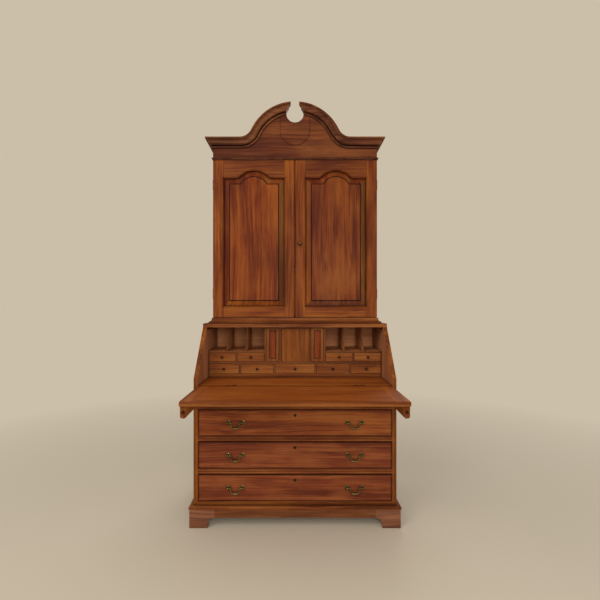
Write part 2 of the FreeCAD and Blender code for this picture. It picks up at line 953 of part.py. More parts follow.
def make_loper(word, x):
    rounding = s.loper_round
    section = [
        (x[0], loper_high),
        (x[0], loper_low + rounding),
        Arc((x[0] + rounding, loper_low + rounding), rounding),
        (x[0] + rounding, loper_low),
        (x[1] - rounding, loper_low),
        Arc((x[1] - rounding, loper_low + rounding), rounding),
        (x[1], loper_low + rounding),
        (x[1], loper_high),
    ]
    bar = prism("loper_%s_bar" % word, "XZ", section, loper_front_y, loper_back_y)
    middle = (x[0] + x[1]) / 2
    outline = knob_outline(s.small_knob_radius, s.small_knob_stem)
    knob = turned("loper_%s_knob" % word, outline, middle, loper_front_y, (loper_low + loper_high) / 2)
    return group("loper_" + word, [bar, knob])


# Long drawers; the bead's rounding is a share of its width
bead_round_share = 0.45
handle_x = keep("handle_place", inner - s.handle_inset)
drawer_back_y = keep("drawer_back", inside_back - s.drawer_back_gap)


def make_drawer_front(name, low, high):
    half_front = inner - s.drawer_side_gap
    body = add("PartDesign::Body", name + "_panel")
    x = (-half_front, half_front)
    z = (low, high)
    plank = sketch_on(body, "XZ", front + s.front_thickness, rectangle(x, z))
    pad_on(body, plank, s.front_thickness)
    ring = sketch_on(body, "XZ", front, rectangle(x, z))
    field = rectangle(drawn_in(x, s.bead_width), drawn_in(z, s.bead_width))
    inside = sketch_on(body, "XZ", front - s.bead_rise, field)
    pad_on(body, ring, s.bead_rise)
    sunk = body.newObject("PartDesign::Pocket", name + "_field")
    sunk.Profile = inside
    bind(sunk, "Length", s.bead_rise)
    doc.recompute()
    bead_y = number(front - s.bead_rise)
    proud = [edge for edge in enumerate(sunk.Shape.Edges, 1) if abs(edge[1].BoundBox.YMax - bead_y) < 1e-6]
    rounding = body.newObject("PartDesign::Fillet", name + "_bead")
    rounding.Base = (sunk, ["Edge%d" % index for index, edge in proud])
    bind(rounding, "Radius", s.bead_width * bead_round_share)
    keyhole_z = high - s.keyhole_drop
    hole = cylinder(name + "_keyhole", s.keyhole_radius, s.front_thickness + 2 * s.cut_overrun, as_size(0),
                    front + s.front_thickness + s.cut_overrun, keyhole_z, Vector(0, -1, 0))
    return cut(name + "_front", body, [hole])


def make_drawer_box(name, low, high):
    outer = inner - s.drawer_side_gap
    deep = (front + s.front_thickness, drawer_back_y)
    tall = (low, high - s.drawer_side_drop)
    pieces = [board(name + "_side", x, deep, tall) for x in both_sides((outer - s.drawer_side, outer))]
    between = (-(outer - s.drawer_side), outer - s.drawer_side)
    rear = (deep[1] - s.drawer_side, deep[1])
    floor = (low + s.drawer_bottom_rise, low + s.drawer_bottom_rise + s.drawer_bottom)
    pieces.append(board(name + "_back", between, rear, (floor[1], tall[1])))
    pieces.append(board(name + "_floor", between, deep, floor))
    return group(name + "_box", pieces)


# Shares of a rosette: its rim of its thickness, its crown of its radius, and the stem's spread foot
rosette_rim_share = 0.5
rosette_crown_share = 0.7
stem_foot_share = 1.4
stem_foot_rise = 1.8


def post_outline():
    # A rosette, a stem and a round head that the bail passes through.
    head = s.head_radius
    stem = s.stem_radius
    plate = s.rosette_thickness
    base = [
        (as_size(0), as_size(0)),
        (s.rosette_radius, as_size(0)),
        (s.rosette_radius, plate * rosette_rim_share),
        (s.rosette_radius * rosette_crown_share, plate),
        (stem * stem_foot_share, plate),
        (stem, plate * stem_foot_rise),
    ]
    return base + ball_on_stem(stem, s.pivot_reach - root(head * head - stem * stem), head)


def make_drawer_brasses(name, low, high):
    middle = (low + high) / 2 + s.handle_lift
    pieces = []
    for side in (-1, 1):
        for end in (-1, 1):
            x = side * handle_x + end * s.handle_spacing / 2
            post = turned(name + "_post_blank", post_outline(), x, front, middle)
            hole = cylinder(name + "_post_hole", s.bail_radius + s.bail_gap, 4 * s.head_radius,
                            x - 2 * s.head_radius, front - s.pivot_reach, middle, Vector(1, 0, 0))
            pieces.append(cut(name + "_post", post, [hole]))
    keyhole_z = high - s.keyhole_drop
    ring = cylinder(name + "_escutcheon_blank", s.escutcheon_radius, s.escutcheon_thickness, as_size(0),
                    front, keyhole_z, Vector(0, -1, 0))
    hole = cylinder(name + "_escutcheon_hole", s.keyhole_radius, 2 * s.cut_overrun, as_size(0),
                    front + s.cut_overrun, keyhole_z, Vector(0, -1, 0))
    pieces.append(cut(name + "_escutcheon", ring, [hole]))
    lock_y = front + s.front_thickness
    lock_x = (-s.lock_width / 2, s.lock_width / 2)
    lock_z = (keyhole_z - s.lock_height / 2, keyhole_z + s.lock_height / 2)
    pieces.append(board(name + "_lock", lock_x, (lock_y, lock_y + s.lock_thickness), lock_z))
    return group(name + "_brasses", pieces)


def make_bail(label, x, z):
    # A wire handle that hangs between two posts.
    pin = s.handle_spacing / 2 + s.bail_tail
    shoulder = s.handle_spacing / 2 - s.bail_shoulder
    drop = shoulder - s.bail_bend
    flat_half = drop - s.bail_corner
    low = z - s.bail_drop
    bend_low = z - s.bail_bend
    corner_high = low + s.bail_corner
    path = [
        (x - pin, z),
        (x - shoulder, z),
        Arc((x - shoulder, bend_low), s.bail_bend),
        (x - drop, bend_low),
        (x - drop, corner_high),
        Arc((x - flat_half, corner_high), s.bail_corner),
        (x - flat_half, low),
        (x + flat_half, low),
        Arc((x + flat_half, corner_high), s.bail_corner),
        (x + drop, corner_high),
        (x + drop, bend_low),
        Arc((x + shoulder, bend_low), s.bail_bend),
        (x + shoulder, z),
        (x + pin, z),
    ]
    centre_y = front - s.pivot_reach

    def wire_section(body, start):
        sketch = sketch_on(body, "YZ", start[0], [])
        circle = sketch.addGeometry(Part.Circle(flat((centre_y, z)), Vector(0, 0, 1), number(s.bail_radius)))
        fix_point(sketch, circle, 3, (centre_y, z))
        fix_radius(sketch, circle, s.bail_radius)
        return sketch

    return piped(label, path, centre_y, wire_section)


def make_long_drawers():
    nodes = []
    for index in range(long_drawer_count):
        name = "drawer_%d" % (index + 1)
        level = long_drawer_count - 1 - index
        low = keep(name + "_low", opening_low(level) + s.drawer_lift)
        high = keep(name + "_high", opening_low(level) + s.drawer_opening - s.drawer_head_gap)
        nodes.append(make_drawer_front(name, low, high))
        nodes.append(make_drawer_box(name, low, high))
        nodes.append(make_drawer_brasses(name, low, high))
        for side, word in ((-1, "left"), (1, "right")):
            middle = (low + high) / 2 + s.handle_lift
            nodes.append(make_bail("%s_%s_bail" % (name, word), side * handle_x, middle))
    return nodes


# Gallery behind the fall front
lower_low = keep("lower_row_low", writing_top + s.gallery_base)
lower_high = keep("lower_row_high", lower_low + s.lower_opening)
upper_low = keep("upper_row_low", lower_high + s.shelf_thickness)
upper_high = keep("upper_row_high", upper_low + s.upper_opening)
pigeon_low = keep("pigeonhole_low", upper_high + s.pigeonhole_floor)
column_inner = keep("column_inner", s.prospect_half + s.column_partition)
column_far = keep("column_far", column_inner + s.document_opening)
column_outer = keep("column_outer", column_far + s.column_partition)
gallery_depth = (gallery_front, inside_back)
pivot_inset = keep("pivot_inset", s.prospect_thickness / 2)
pivot_x = keep("prospect_pivot_place", -(s.prospect_half - s.prospect_gap - pivot_inset))
pivot_y = keep("prospect_pivot_depth", gallery_front + pivot_inset)
header_low = keep("prospect_header_low", desk_ceiling - s.header_height)


def make_gallery_shelves():
    base = board("gallery_base", (-inner, inner), gallery_depth, (writing_top, lower_low))
    plank = board("gallery_shelf_blank", (-inner, inner), gallery_depth, (lower_high, upper_low))
    socket = cylinder("shelf_pivot_socket", s.pivot_radius + s.pin_gap, s.pivot_depth + s.cut_overrun,
                      pivot_x, pivot_y, upper_low - s.pivot_depth)
    rail = board("prospect_header_blank", (-s.prospect_half, s.prospect_half),
                 (gallery_front, gallery_front + s.header_depth), (header_low, desk_ceiling))
    upper_socket = cylinder("header_pivot_socket", s.pivot_radius + s.pin_gap, s.pivot_depth + s.cut_overrun,
                            pivot_x, pivot_y, header_low - s.cut_overrun)
    pieces = [base, cut("gallery_shelf", plank, [socket]), cut("prospect_header", rail, [upper_socket])]
    for x in both_sides((column_outer, inner)):
        pieces.append(board("pigeonhole_shelf", x, gallery_depth, (upper_high, pigeon_low)))
    return group("gallery_shelves", pieces)


def swept_partition(x):
    # The front edge sweeps forward at the foot in two equal arcs.
    sweep = s.partition_sweep
    rise = s.partition_rise
    radius = (sweep * sweep + rise * rise) / (4 * sweep)
    low = pigeon_low + s.partition_lip
    high = low + rise
    profile = [
        (gallery_front, pigeon_low),
        (gallery_front, low),
        Arc((gallery_front + radius, low), radius),
        (gallery_front + sweep / 2, low + rise / 2),
        Arc((gallery_front + sweep - radius, high), radius),
        (gallery_front + sweep, high),
        (gallery_front + sweep, desk_ceiling),
        (inside_back, desk_ceiling),
        (inside_back, pigeon_low),
    ]
    return prism("pigeonhole_partition", "YZ", profile, *x)


pigeon_span = keep("pigeonhole_span", inner - column_outer - s.upper_partition * (pigeonholes_per_side - 1))
pigeon_width = keep("pigeonhole_width", pigeon_span / pigeonholes_per_side)
upper_middle = keep("upper_middle", (column_outer + inner) / 2)
lower_first = keep("lower_first", s.lower_centre_half + s.lower_partition)
lower_second = keep("lower_second", lower_first + s.lower_inner_width)
lower_third = keep("lower_third", lower_second + s.lower_partition)


def make_gallery_partitions():
    pieces = []
    lower = (lower_low, lower_high)
    upper = (upper_low, upper_high)
    tall = (upper_low, desk_ceiling)
    middle_wall = (upper_middle - s.upper_partition / 2, upper_middle + s.upper_partition / 2)
    walls = [
        ((s.lower_centre_half, lower_first), lower),
        ((lower_second, lower_third), lower),
        ((s.prospect_half, column_inner), tall),
        ((column_far, column_outer), tall),
        (middle_wall, upper),
    ]
    for span, height in walls:
        for x in both_sides(span):
            pieces.append(board("gallery_wall", x, gallery_depth, height))
    for index in range(1, pigeonholes_per_side):
        low = column_outer + pigeon_width * index + s.upper_partition * (index - 1)
        for x in both_sides((low, low + s.upper_partition)):
            pieces.append(swept_partition(x))
    return group("gallery_partitions", pieces)


def small_box(name, x, z, tall_drop):
    # Sides, back and floor of a small drawer behind its front.
    deep = (gallery_front + s.small_front, inside_back - s.small_back_gap)
    tall = (z[0], z[1] - tall_drop)
    inside = (x[0] + s.small_side, x[1] - s.small_side)
    pieces = [
        board(name + "_left", (x[0], inside[0]), deep, tall),
        board(name + "_right", (inside[1], x[1]), deep, tall),
        board(name + "_back", inside, (deep[1] - s.small_side, deep[1]), (z[0] + s.small_bottom, tall[1])),
        board(name + "_floor", inside, deep, (z[0], z[0] + s.small_bottom)),
    ]
    return pieces


def lipped_front(label, x, z):
    # A drawer front whose face is bevelled all round.
    lip = s.small_lip
    body = add("PartDesign::Body", label)
    plank = sketch_on(body, "XZ", gallery_front + s.small_front, rectangle(x, z))
    pad_on(body, plank, s.small_front - lip)
    edge = sketch_on(body, "XZ", gallery_front + lip, rectangle(x, z))
    face_edge = sketch_on(body, "XZ", gallery_front, rectangle(drawn_in(x, lip), drawn_in(z, lip)))
    loft_on(body, edge, face_edge)
    return body


def make_small_drawer(label, opening_x, opening_z):
    gap = s.small_gap
    x = (opening_x[0] + gap, opening_x[1] - gap)
    z = (opening_z[0] + s.drawer_lift, opening_z[1] - gap)
    pieces = [lipped_front(label + "_front", x, z)]
    pieces += small_box(label, x, z, s.small_side_drop)
    outline = knob_outline(s.small_knob_radius, s.small_knob_stem)
    knob = turned(label + "_knob", outline, (x[0] + x[1]) / 2, gallery_front, (z[0] + z[1]) / 2)
    return group(label, pieces + [knob])


def make_small_drawers():
    middle_low = upper_middle - s.upper_partition / 2
    middle_high = upper_middle + s.upper_partition / 2
    lower_spans = [
        (-inner, -lower_third),
        (-lower_second, -lower_first),
        (-s.lower_centre_half, s.lower_centre_half),
        (lower_first, lower_second),
        (lower_third, inner),
    ]
    upper_spans = [
        (-inner, -middle_high),
        (-middle_low, -column_outer),
        (column_outer, middle_low),
        (middle_high, inner),
    ]
    nodes = []
    for index, span in enumerate(lower_spans, 1):
        nodes.append(make_small_drawer("lower_drawer_%d" % index, span, (lower_low, lower_high)))
    for index, span in enumerate(upper_spans, 1):
        nodes.append(make_small_drawer("upper_drawer_%d" % index, span, (upper_low, upper_high)))
    return nodes


# Document drawers: tall narrow boxes whose fronts have a sunk panel with a raised field
def make_document_drawers():
    nodes = []
    gap = s.small_gap
    for word, span in zip(("left", "right"), both_sides((column_inner, column_far))):
        label = "document_drawer_" + word
        x = (span[0] + gap, span[1] - gap)
        z = (upper_low + s.drawer_lift, desk_ceiling - 2 * gap)
        margin = s.sunk_margin
        sunk = rectangle(drawn_in(x, margin), drawn_in(z, margin))
        inside = margin + s.sunk_border
        field = rectangle(drawn_in(x, inside), drawn_in(z, inside))
        body = lipped_front(label + "_front", x, z)
        recess = body.newObject("PartDesign::Pocket", label + "_recess")
        recess.Profile = sketch_on(body, "XZ", gallery_front, sunk)
        bind(recess, "Length", s.sunk_depth)
        pad_on(body, sketch_on(body, "XZ", gallery_front + s.sunk_depth, field), s.sunk_field_rise)
        nodes.append(group(label, [body] + small_box(label, x, z, 4 * s.small_side_drop)))
    return nodes


# Prospect door on two pivot pins, its hinge edge rounded about them
def make_prospect_door():
    closing = s.prospect_half - s.prospect_gap
    low = upper_low + s.prospect_gap
    high = header_low - s.prospect_gap
    deep = gallery_front + s.prospect_thickness
    plan = [
        (closing, gallery_front),
        (closing, deep),
        (pivot_x, deep),
        Arc((pivot_x, pivot_y), pivot_inset),
        (pivot_x - pivot_inset, pivot_y),
        Arc((pivot_x, pivot_y), pivot_inset),
        (pivot_x, gallery_front),
    ]
    leaf = prism("prospect_leaf", "XY", plan, low, high)
    reach = s.pivot_depth + s.prospect_gap / 2
    lower_pin = cylinder("prospect_lower_pin", s.pivot_radius, reach, pivot_x, pivot_y, low - reach)
    upper_pin = cylinder("prospect_upper_pin", s.pivot_radius, reach, pivot_x, pivot_y, high)
    return group("prospect_door", [leaf, lower_pin, upper_pin])


# Bookcase carcass
def make_mid_moulding():
    reach = s.mid_moulding_reach
    height = s.mid_moulding_height
    nose = s.mid_nose
    neck = s.mid_neck
    cove = reach - neck - s.mid_ledge
    zero = as_size(0)
    cap = height - nose - cove

    def profile(inset):
        return [
            (-inset, zero),
            (reach - nose / 2, zero),
            Arc((reach - nose / 2, nose / 2), nose / 2),
            (reach, nose / 2),
            Arc((reach - nose / 2, nose / 2), nose / 2),
            (reach - nose / 2, nose),
            (neck + cove, nose),
            Arc((neck + cove, nose + cove), cove),
            (neck, nose + cove),
            (neck, nose + cove + cap),
            (-inset, height),
        ]

    depth = book_front - face
    return moulding("mid_moulding", profile(depth), profile(zero), book_half, face, desk_top, height, reach,
                    (depth, zero))


def make_bookcase_boards():
    wide = (-(book_inner + s.bookcase_housing), book_inner + s.bookcase_housing)
    deep = (book_front, inside_back)
    floor = board("bookcase_floor_board", wide, deep, (book_floor - s.bookcase_board, book_floor))
    head_low = door_top - s.bookcase_board / 2
    head = board("bookcase_head_board", wide, deep, (head_low, head_low + s.bookcase_board))
    clear = (head_low - book_floor - s.bookcase_shelf * shelf_count) / (shelf_count + 1)
    shelves = []
    for index in range(1, shelf_count + 1):
        low = book_floor + clear * index + s.bookcase_shelf * (index - 1)
        shelves.append(board("bookcase_shelf", wide, deep, (low, low + s.bookcase_shelf)))
    return [floor, head], shelves


door_axis_x = keep("door_axis_place", book_half + hinge_rise)
door_axis_y = keep("door_axis_depth", book_front - s.door_gap / 2)
door_gain = keep("door_gain_depth", s.leaf_thickness + s.leaf_gap / 2 - s.door_gap / 2)
door_hinge_levels = [door_bottom + s.door_hinge_inset, door_top - s.door_hinge_inset - s.leaf_length]


def door_gains(word, side, y):
    beds = []
    x = (book_half - s.leaf_width, book_half + s.cut_overrun)
    x = x if side > 0 else (-x[1], -x[0])
    for low in door_hinge_levels:
        beds.append(board(word + "_gain", x, y, (low, low + s.leaf_length)))
    return beds


def make_bookcase_sides(housed_boards):
    sides = []
    housings = group("bookcase_housings", housed_boards)
    for side, word in ((-1, "left"), (1, "right")):
        x = (book_inner, book_half) if side > 0 else (-book_half, -book_inner)
        tall = (desk_top, cornice_top - s.cut_overrun)
        blank = board("bookcase_%s_blank" % word, x, (book_front, back), tall)
        beds = door_gains("bookcase_" + word, side, (book_front - s.cut_overrun, book_front + door_gain))
        bedded = cut("bookcase_%s_bedded" % word, blank, beds)
        sides.append(cut("bookcase_side_" + word, bedded, [housings]))
    return group("bookcase_sides", sides)


def make_bookcase_back():
    pieces = []
    wide = 2 * book_inner / back_board_count
    for index in range(back_board_count):
        left = -book_inner + wide * index
        pieces.append(board("bookcase_back_plank", (left, left + wide), (inside_back, back),
                            (desk_top, cornice_top - s.cut_overrun)))
    return group("bookcase_back_boards", pieces)


# Doors: framed, with a fielded panel under an arched head
meeting = keep("meeting_edge", s.door_meeting / 2)
panel_near = keep("panel_near", meeting + s.stile_width)
panel_far = keep("panel_far", book_half - s.stile_width)
panel_middle = keep("panel_middle", (panel_near + panel_far) / 2)
panel_low = keep("panel_low", door_bottom + s.bottom_rail)
panel_shoulder = keep("panel_shoulder", door_top - s.top_rail)
arch_square = s.panel_arch_half * s.panel_arch_half + s.panel_arch_rise * s.panel_arch_rise
panel_radius = keep("panel_arch_radius", arch_square / (2 * s.panel_arch_rise))
panel_centre = keep("panel_arch_centre", panel_shoulder + s.panel_arch_rise - panel_radius)
tongue_front = keep("tongue_front", face + s.tongue_setback)
tongue_back = keep("tongue_back", tongue_front + s.tongue_thickness)


def arch_half_at(inset):
    radius = panel_radius - inset
    height = panel_shoulder - inset - panel_centre
    return root(radius * radius - height * height)


def panel_outline(side, inset):
    # Outline of the panel's opening, drawn in by an inset all round.
    near = panel_near + inset
    far = panel_far - inset
    low = panel_low + inset
    shoulder = panel_shoulder - inset
    spread = arch_half_at(inset)
    return [
        (side * near, low),
        (side * far, low),
        (side * far, shoulder),
        (side * (panel_middle + spread), shoulder),
        Arc((side * panel_middle, panel_centre), panel_radius - inset),
        (side * (panel_middle - spread), shoulder),
        (side * near, shoulder),
    ]


def make_door_panel(word, side):
    # A tongue all round, a bevel, a narrow quirk and a flat field.
    body = add("PartDesign::Body", word + "_door_panel")
    slab = sketch_on(body, "XZ", tongue_back, panel_outline(side, -s.tongue_depth))
    pad_on(body, slab, s.tongue_thickness)
    foot = sketch_on(body, "XZ", tongue_front, panel_outline(side, s.panel_gap))
    brow = sketch_on(body, "XZ", tongue_front - s.bevel_rise, panel_outline(side, s.bevel_margin))
    loft_on(body, foot, brow)
    field = sketch_on(body, "XZ", tongue_front, panel_outline(side, s.bevel_margin + s.quirk_width))
    pad_on(body, field, s.bevel_rise + s.field_step)
    return body


def make_door_frame(word, side):
    deep = (face, face + s.door_thickness)
    tall = (door_bottom, door_top)

    def span(low, high):
        return (low, high) if side > 0 else (-high, -low)

    name = word + "_door_"
    hanging = board(name + "hanging_blank", span(panel_far, book_half), deep, tall)
    eased = s.meeting_chamfer
    closing_plan = [
        (side * meeting, deep[1]),
        (side * meeting, face + eased),
        (side * (meeting + eased), face),
        (side * panel_near, face),
        (side * panel_near, deep[1]),
    ]
    closing = prism(name + "closing_blank", "XY", closing_plan, *tall)
    foot = board(name + "foot_blank", span(panel_near, panel_far), deep, (door_bottom, panel_low))
    spread = s.panel_arch_half
    head_outline = [
        (side * panel_near, panel_shoulder),
        (side * (panel_middle - spread), panel_shoulder),
        Arc((side * panel_middle, panel_centre), panel_radius),
        (side * (panel_middle + spread), panel_shoulder),
        (side * panel_far, panel_shoulder),
        (side * panel_far, door_top),
        (side * panel_near, door_top),
    ]
    head = prism(name + "head_blank", "XZ", head_outline, *deep)
    groove = prism(name + "groove", "XZ", panel_outline(side, -s.tongue_depth), tongue_front, tongue_back)
    splay = add("PartDesign::Body", name + "splay")
    wide = s.frame_chamfer + s.cut_overrun
    mouth = sketch_on(splay, "XZ", face - s.cut_overrun, panel_outline(side, -wide))
    throat = sketch_on(splay, "XZ", face + s.frame_chamfer, panel_outline(side, as_size(0)))
    loft_on(splay, throat, mouth)
    beds = door_gains(name, side, (deep[1] - door_gain, deep[1] + s.cut_overrun))
    tools = group(name + "tools", [groove, splay])
    pieces = [cut(name + "hanging_stile", hanging, [groove, splay] + beds)]
    for part, blank in (("closing_stile", closing), ("foot_rail", foot), ("head_rail", head)):
        pieces.append(cut(name + part, blank, [tools]))
    return group(name + "frame", pieces)


def make_door_hinges():
    fixed = []
    moving = {"left": [], "right": []}
    for side, word, turn in ((-1, "left", turned_round), (1, "right", upright)):
        for level in door_hinge_levels:
            leaves = set_hinge(word + "_door_hinge", turn, side, side * door_axis_x, door_axis_y, level)
            fixed += [leaves[0], leaves[2]]
            moving[word].append(leaves[1])
    return fixed, moving


def make_fall_hinges():
    fixed = []
    moving = []
    for side in (-1, 1):
        x = side * fall_hinge_x + gain_half
        leaves = set_hinge("fall_hinge", lying, 1, x, axis_y, axis_z)
        fixed += [leaves[0], leaves[2]]
        moving.append(leaves[1])
    return fixed, moving


def make_door_knob():
    outline = knob_outline(s.door_knob_radius, s.door_knob_stem)
    return turned("door_knob", outline, s.door_knob_place, face, door_bottom + s.door_knob_height)


# Frieze bead, cornice and pediment
def make_frieze_moulding():
    height = s.frieze_bead_height
    reach = s.frieze_bead_reach
    zero = as_size(0)
    ledge = s.frieze_ledge
    bead = (height - 2 * ledge) / 2
    neck = reach - bead
    profile = [
        (zero, zero),
        (neck, zero),
        (neck, ledge),
        Arc((neck, height / 2), bead),
        (neck + bead, height / 2),
        Arc((neck, height / 2), bead),
        (neck, height - ledge),
        (zero, height),
    ]
    return moulding("frieze_moulding", profile, profile, book_half, face, frieze_bottom, height, reach,
                    (zero, zero))


def cornice_profile():
    # From the foot up: a bead, a quirk, a round, a hollow and a square fillet.
    reach = s.cornice_reach
    height = s.cornice_height
    zero = as_size(0)
    neck = s.cornice_neck
    bead = s.cornice_bead / 2
    foot = s.cornice_bead + s.cornice_quirk
    rise = (height - foot - s.cornice_crown) / 2
    ledge = reach - 2 * rise - s.cornice_nose
    mid = foot + rise
    return [
        (zero, zero),
        (neck, zero),
        Arc((neck, bead), bead),
        (neck + bead, bead),
        Arc((neck, bead), bead),
        (neck, s.cornice_bead),
        (neck, foot),
        (ledge, foot),
        Arc((ledge, mid), rise),
        (ledge + rise, mid),
        Arc((ledge + 2 * rise, mid), rise),
        (ledge + 2 * rise, mid + rise),
        (reach, mid + rise),
        (reach, height),
        (zero, height),
    ]


pediment_centre = keep("pediment_centre", cornice_top + s.pediment_rise - s.pediment_radius)
foot_centre_z = keep("pediment_foot_centre", cornice_top + s.pediment_foot_radius)
radius_sum = keep("pediment_radius_sum", s.pediment_radius + s.pediment_foot_radius)
centre_rise = keep("pediment_centre_rise", foot_centre_z - pediment_centre)
foot_centre_x = keep("pediment_foot_place", root(radius_sum * radius_sum - centre_rise * centre_rise))


def pediment_line(outer, setdown):
    # Left half of a line that runs level, then hollow, then round, below the cornice's top edge.
    radius = s.pediment_radius - setdown
    foot_radius = s.pediment_foot_radius + setdown
    share = radius / radius_sum
    level = cornice_top - setdown
    return [
        (-outer, level),
        (-foot_centre_x, level),
        Arc((-foot_centre_x, foot_centre_z), foot_radius),
        (-foot_centre_x * share, pediment_centre + centre_rise * share),
        Arc((as_size(0), pediment_centre), radius),
        (as_size(0), pediment_centre + radius),
    ]


pediment_apex = keep("pediment_apex", cornice_top + s.pediment_rise)
gap_centre = keep("gap_centre", pediment_apex - s.gap_drop)


def pediment_gap(label, low_y, high_y):
    # Keyhole-shaped gap in the middle of the pediment: a neck that flares into a circle.
    neck = s.gap_width / 2
    radius = s.gap_radius
    flare = s.gap_flare
    reach = neck + flare
    rise = root((radius + flare) * (radius + flare) - reach * reach)
    share = radius / (radius + flare)
    touch_x = reach * share
    touch_z = gap_centre + rise * share
    spring = gap_centre + rise
    top = pediment_apex + s.gap_flare
    zero = as_size(0)
    outline = [
        (-neck, top),
        (-neck, spring),
        Arc((-reach, spring), flare),
        (-touch_x, touch_z),
        Arc((zero, gap_centre), radius),
        (zero, gap_centre - radius),
        Arc((zero, gap_centre), radius),
        (touch_x, touch_z),
        Arc((reach, spring), flare),
        (neck, spring),
        (neck, top),
    ]
    return prism(label, "XZ", outline, low_y, high_y)


def make_tympanum():
    left = pediment_line(book_half, s.tympanum_setdown)
    right = []
    for item in reversed(left[:-1]):
        if isinstance(item, Arc):
            right.append(Arc((-item.centre[0], item.centre[1]), item.radius))
        else:
            right.append((-item[0], item[1]))
    outline = [(-book_half, frieze_bottom)] + left + right + [(book_half, frieze_bottom)]
    sheet_of_wood = prism("tympanum_blank", "XZ", outline, face, book_front)
    gap = pediment_gap("tympanum_gap", face - s.cut_overrun, book_front + s.cut_overrun)
    plank = cut("tympanum_plank", sheet_of_wood, [gap])
    return group("tympanum_board", [plank, make_plinth()])


def make_plinth():
    # A thin applied plinth with a round foot, fitted under the cornice and cut away by the gap.
    wide = s.plinth_half
    foot = frieze_top + s.plinth_foot
    spring = foot + wide
    zero = as_size(0)
    under_cornice = s.pediment_radius - s.cornice_height - s.plinth_gap
    head = pediment_centre + root(under_cornice * under_cornice - wide * wide)
    outline = [
        (-wide, head),
        (-wide, spring),
        Arc((zero, spring), wide),
        (zero, foot),
        Arc((zero, spring), wide),
        (wide, spring),
        (wide, head),
        Arc((zero, pediment_centre), under_cornice),
    ]
    blank = prism("plinth_blank", "XZ", outline, face - s.plinth_thickness, face)
    gap = pediment_gap("plinth_gap", face - s.plinth_thickness - s.cut_overrun, face + s.cut_overrun)
    return cut("plinth", blank, [gap])


def make_cornice():
    profile = cornice_profile()
    reach = s.cornice_reach

    def cornice_section(body, start):
        outline = moved(profile, lambda u, v: (face - u, frieze_top + v))
        return sketch_on(body, "YZ", start[0], outline)

    path = pediment_line(book_half + reach, s.cornice_height)
    run = piped("cornice_sweep", path, face, cornice_section)
    zero = as_size(0)
    height = s.cornice_height + s.pediment_rise
    mitre = front_mitre("cornice_front_mitre", book_half, face, frieze_top, height, reach, zero, zero)
    mitred = common("cornice_mitred", run, mitre)
    gap = pediment_gap("cornice_gap", face - reach - s.cut_overrun, face + s.cut_overrun)
    left = cut("cornice_left_front", mitred, [gap])
    right = mirrored("cornice_right_front", left)
    returns = moulding_returns("cornice", profile, book_half, face, frieze_top, s.cornice_height, reach, zero)
    return group("cornice_moulding", [left, right] + returns)


# Assembly
nodes = [make_base_moulding(), make_skirt_rails(), make_bracket_feet()]
desk_bottom = make_desk_bottom()
writing_board = make_writing_board()
dividers = make_drawer_dividers()
nodes += [desk_bottom, writing_board, group("drawer_dividers", dividers), make_drawer_runners()]
nodes += make_desk_sides([desk_bottom, writing_board] + dividers[:-1])
nodes += [make_desk_top(), make_desk_back()]
nodes += [make_gallery_shelves(), make_gallery_partitions(), make_prospect_door()]
nodes += make_small_drawers()
nodes += make_document_drawers()
nodes += make_long_drawers()
loper_outer = inner - s.loper_gap
for loper_word, loper_x in zip(("left", "right"), both_sides((loper_outer - s.loper_width, loper_outer))):
    nodes.append(make_loper(loper_word, loper_x))

fall_board, fall_cleats, fall_escutcheon = make_fall_front()
fall_fixed, fall_moving = make_fall_hinges()
nodes += [fall_board, fall_cleats, group("lid_brasses", fall_moving + [fall_escutcheon])]

case_boards, book_shelves = make_bookcase_boards()
nodes += [group("bookcase_boards", case_boards), group("bookcase_shelves", book_shelves)]
nodes += [make_bookcase_sides(case_boards + book_shelves), make_bookcase_back(), make_mid_moulding()]
nodes += [make_frieze_moulding(), make_tympanum(), make_cornice()]
door_fixed, door_moving = make_door_hinges()
nodes.append(group("case_hinge_leaves", fall_fixed + door_fixed))
for door_side, door_word in ((-1, "left"), (1, "right")):
    nodes.append(make_door_frame(door_word, door_side))
    nodes.append(make_door_panel(door_word, door_side))
nodes.append(group("left_door_hinge_leaves", door_moving["left"]))
nodes.append(group("right_door_brasses", door_moving["right"] + [make_door_knob()]))

doc.recompute()
for thing in doc.Objects:
    if "Invalid" in thing.State or "Error" in thing.State:
        raise RuntimeError("%s failed: %s" % (thing.Label, thing.State))
for node in nodes:
    if node.Shape.isNull() or not node.Shape.isValid() or not node.Shape.Solids:
        raise RuntimeError("%s has no valid solid" % node.Label)

os.makedirs("parts", exist_ok=True)
for node in nodes:
    node.Shape.exportStep(os.path.join("parts", node.Label + ".step"))
print("%d nodes, %d solids" % (len(nodes), sum(len(node.Shape.Solids) for node in nodes)))
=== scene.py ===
import math

import bpy
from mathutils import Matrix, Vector


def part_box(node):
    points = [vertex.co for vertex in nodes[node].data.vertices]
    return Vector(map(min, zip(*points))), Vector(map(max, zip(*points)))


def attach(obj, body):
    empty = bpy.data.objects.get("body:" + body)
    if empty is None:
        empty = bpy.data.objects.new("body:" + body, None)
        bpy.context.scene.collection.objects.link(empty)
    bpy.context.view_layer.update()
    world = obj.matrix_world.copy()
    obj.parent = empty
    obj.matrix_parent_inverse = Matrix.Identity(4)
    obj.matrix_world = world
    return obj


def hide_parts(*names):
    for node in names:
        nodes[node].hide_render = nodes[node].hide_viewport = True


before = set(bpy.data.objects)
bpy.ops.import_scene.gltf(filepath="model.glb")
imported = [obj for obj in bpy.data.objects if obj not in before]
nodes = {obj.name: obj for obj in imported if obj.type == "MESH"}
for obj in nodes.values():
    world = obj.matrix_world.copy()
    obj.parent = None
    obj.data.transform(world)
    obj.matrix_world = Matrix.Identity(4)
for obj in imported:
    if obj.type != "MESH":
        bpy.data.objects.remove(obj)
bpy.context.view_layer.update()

scene = bpy.context.scene
scene.view_settings.view_transform = "Standard"
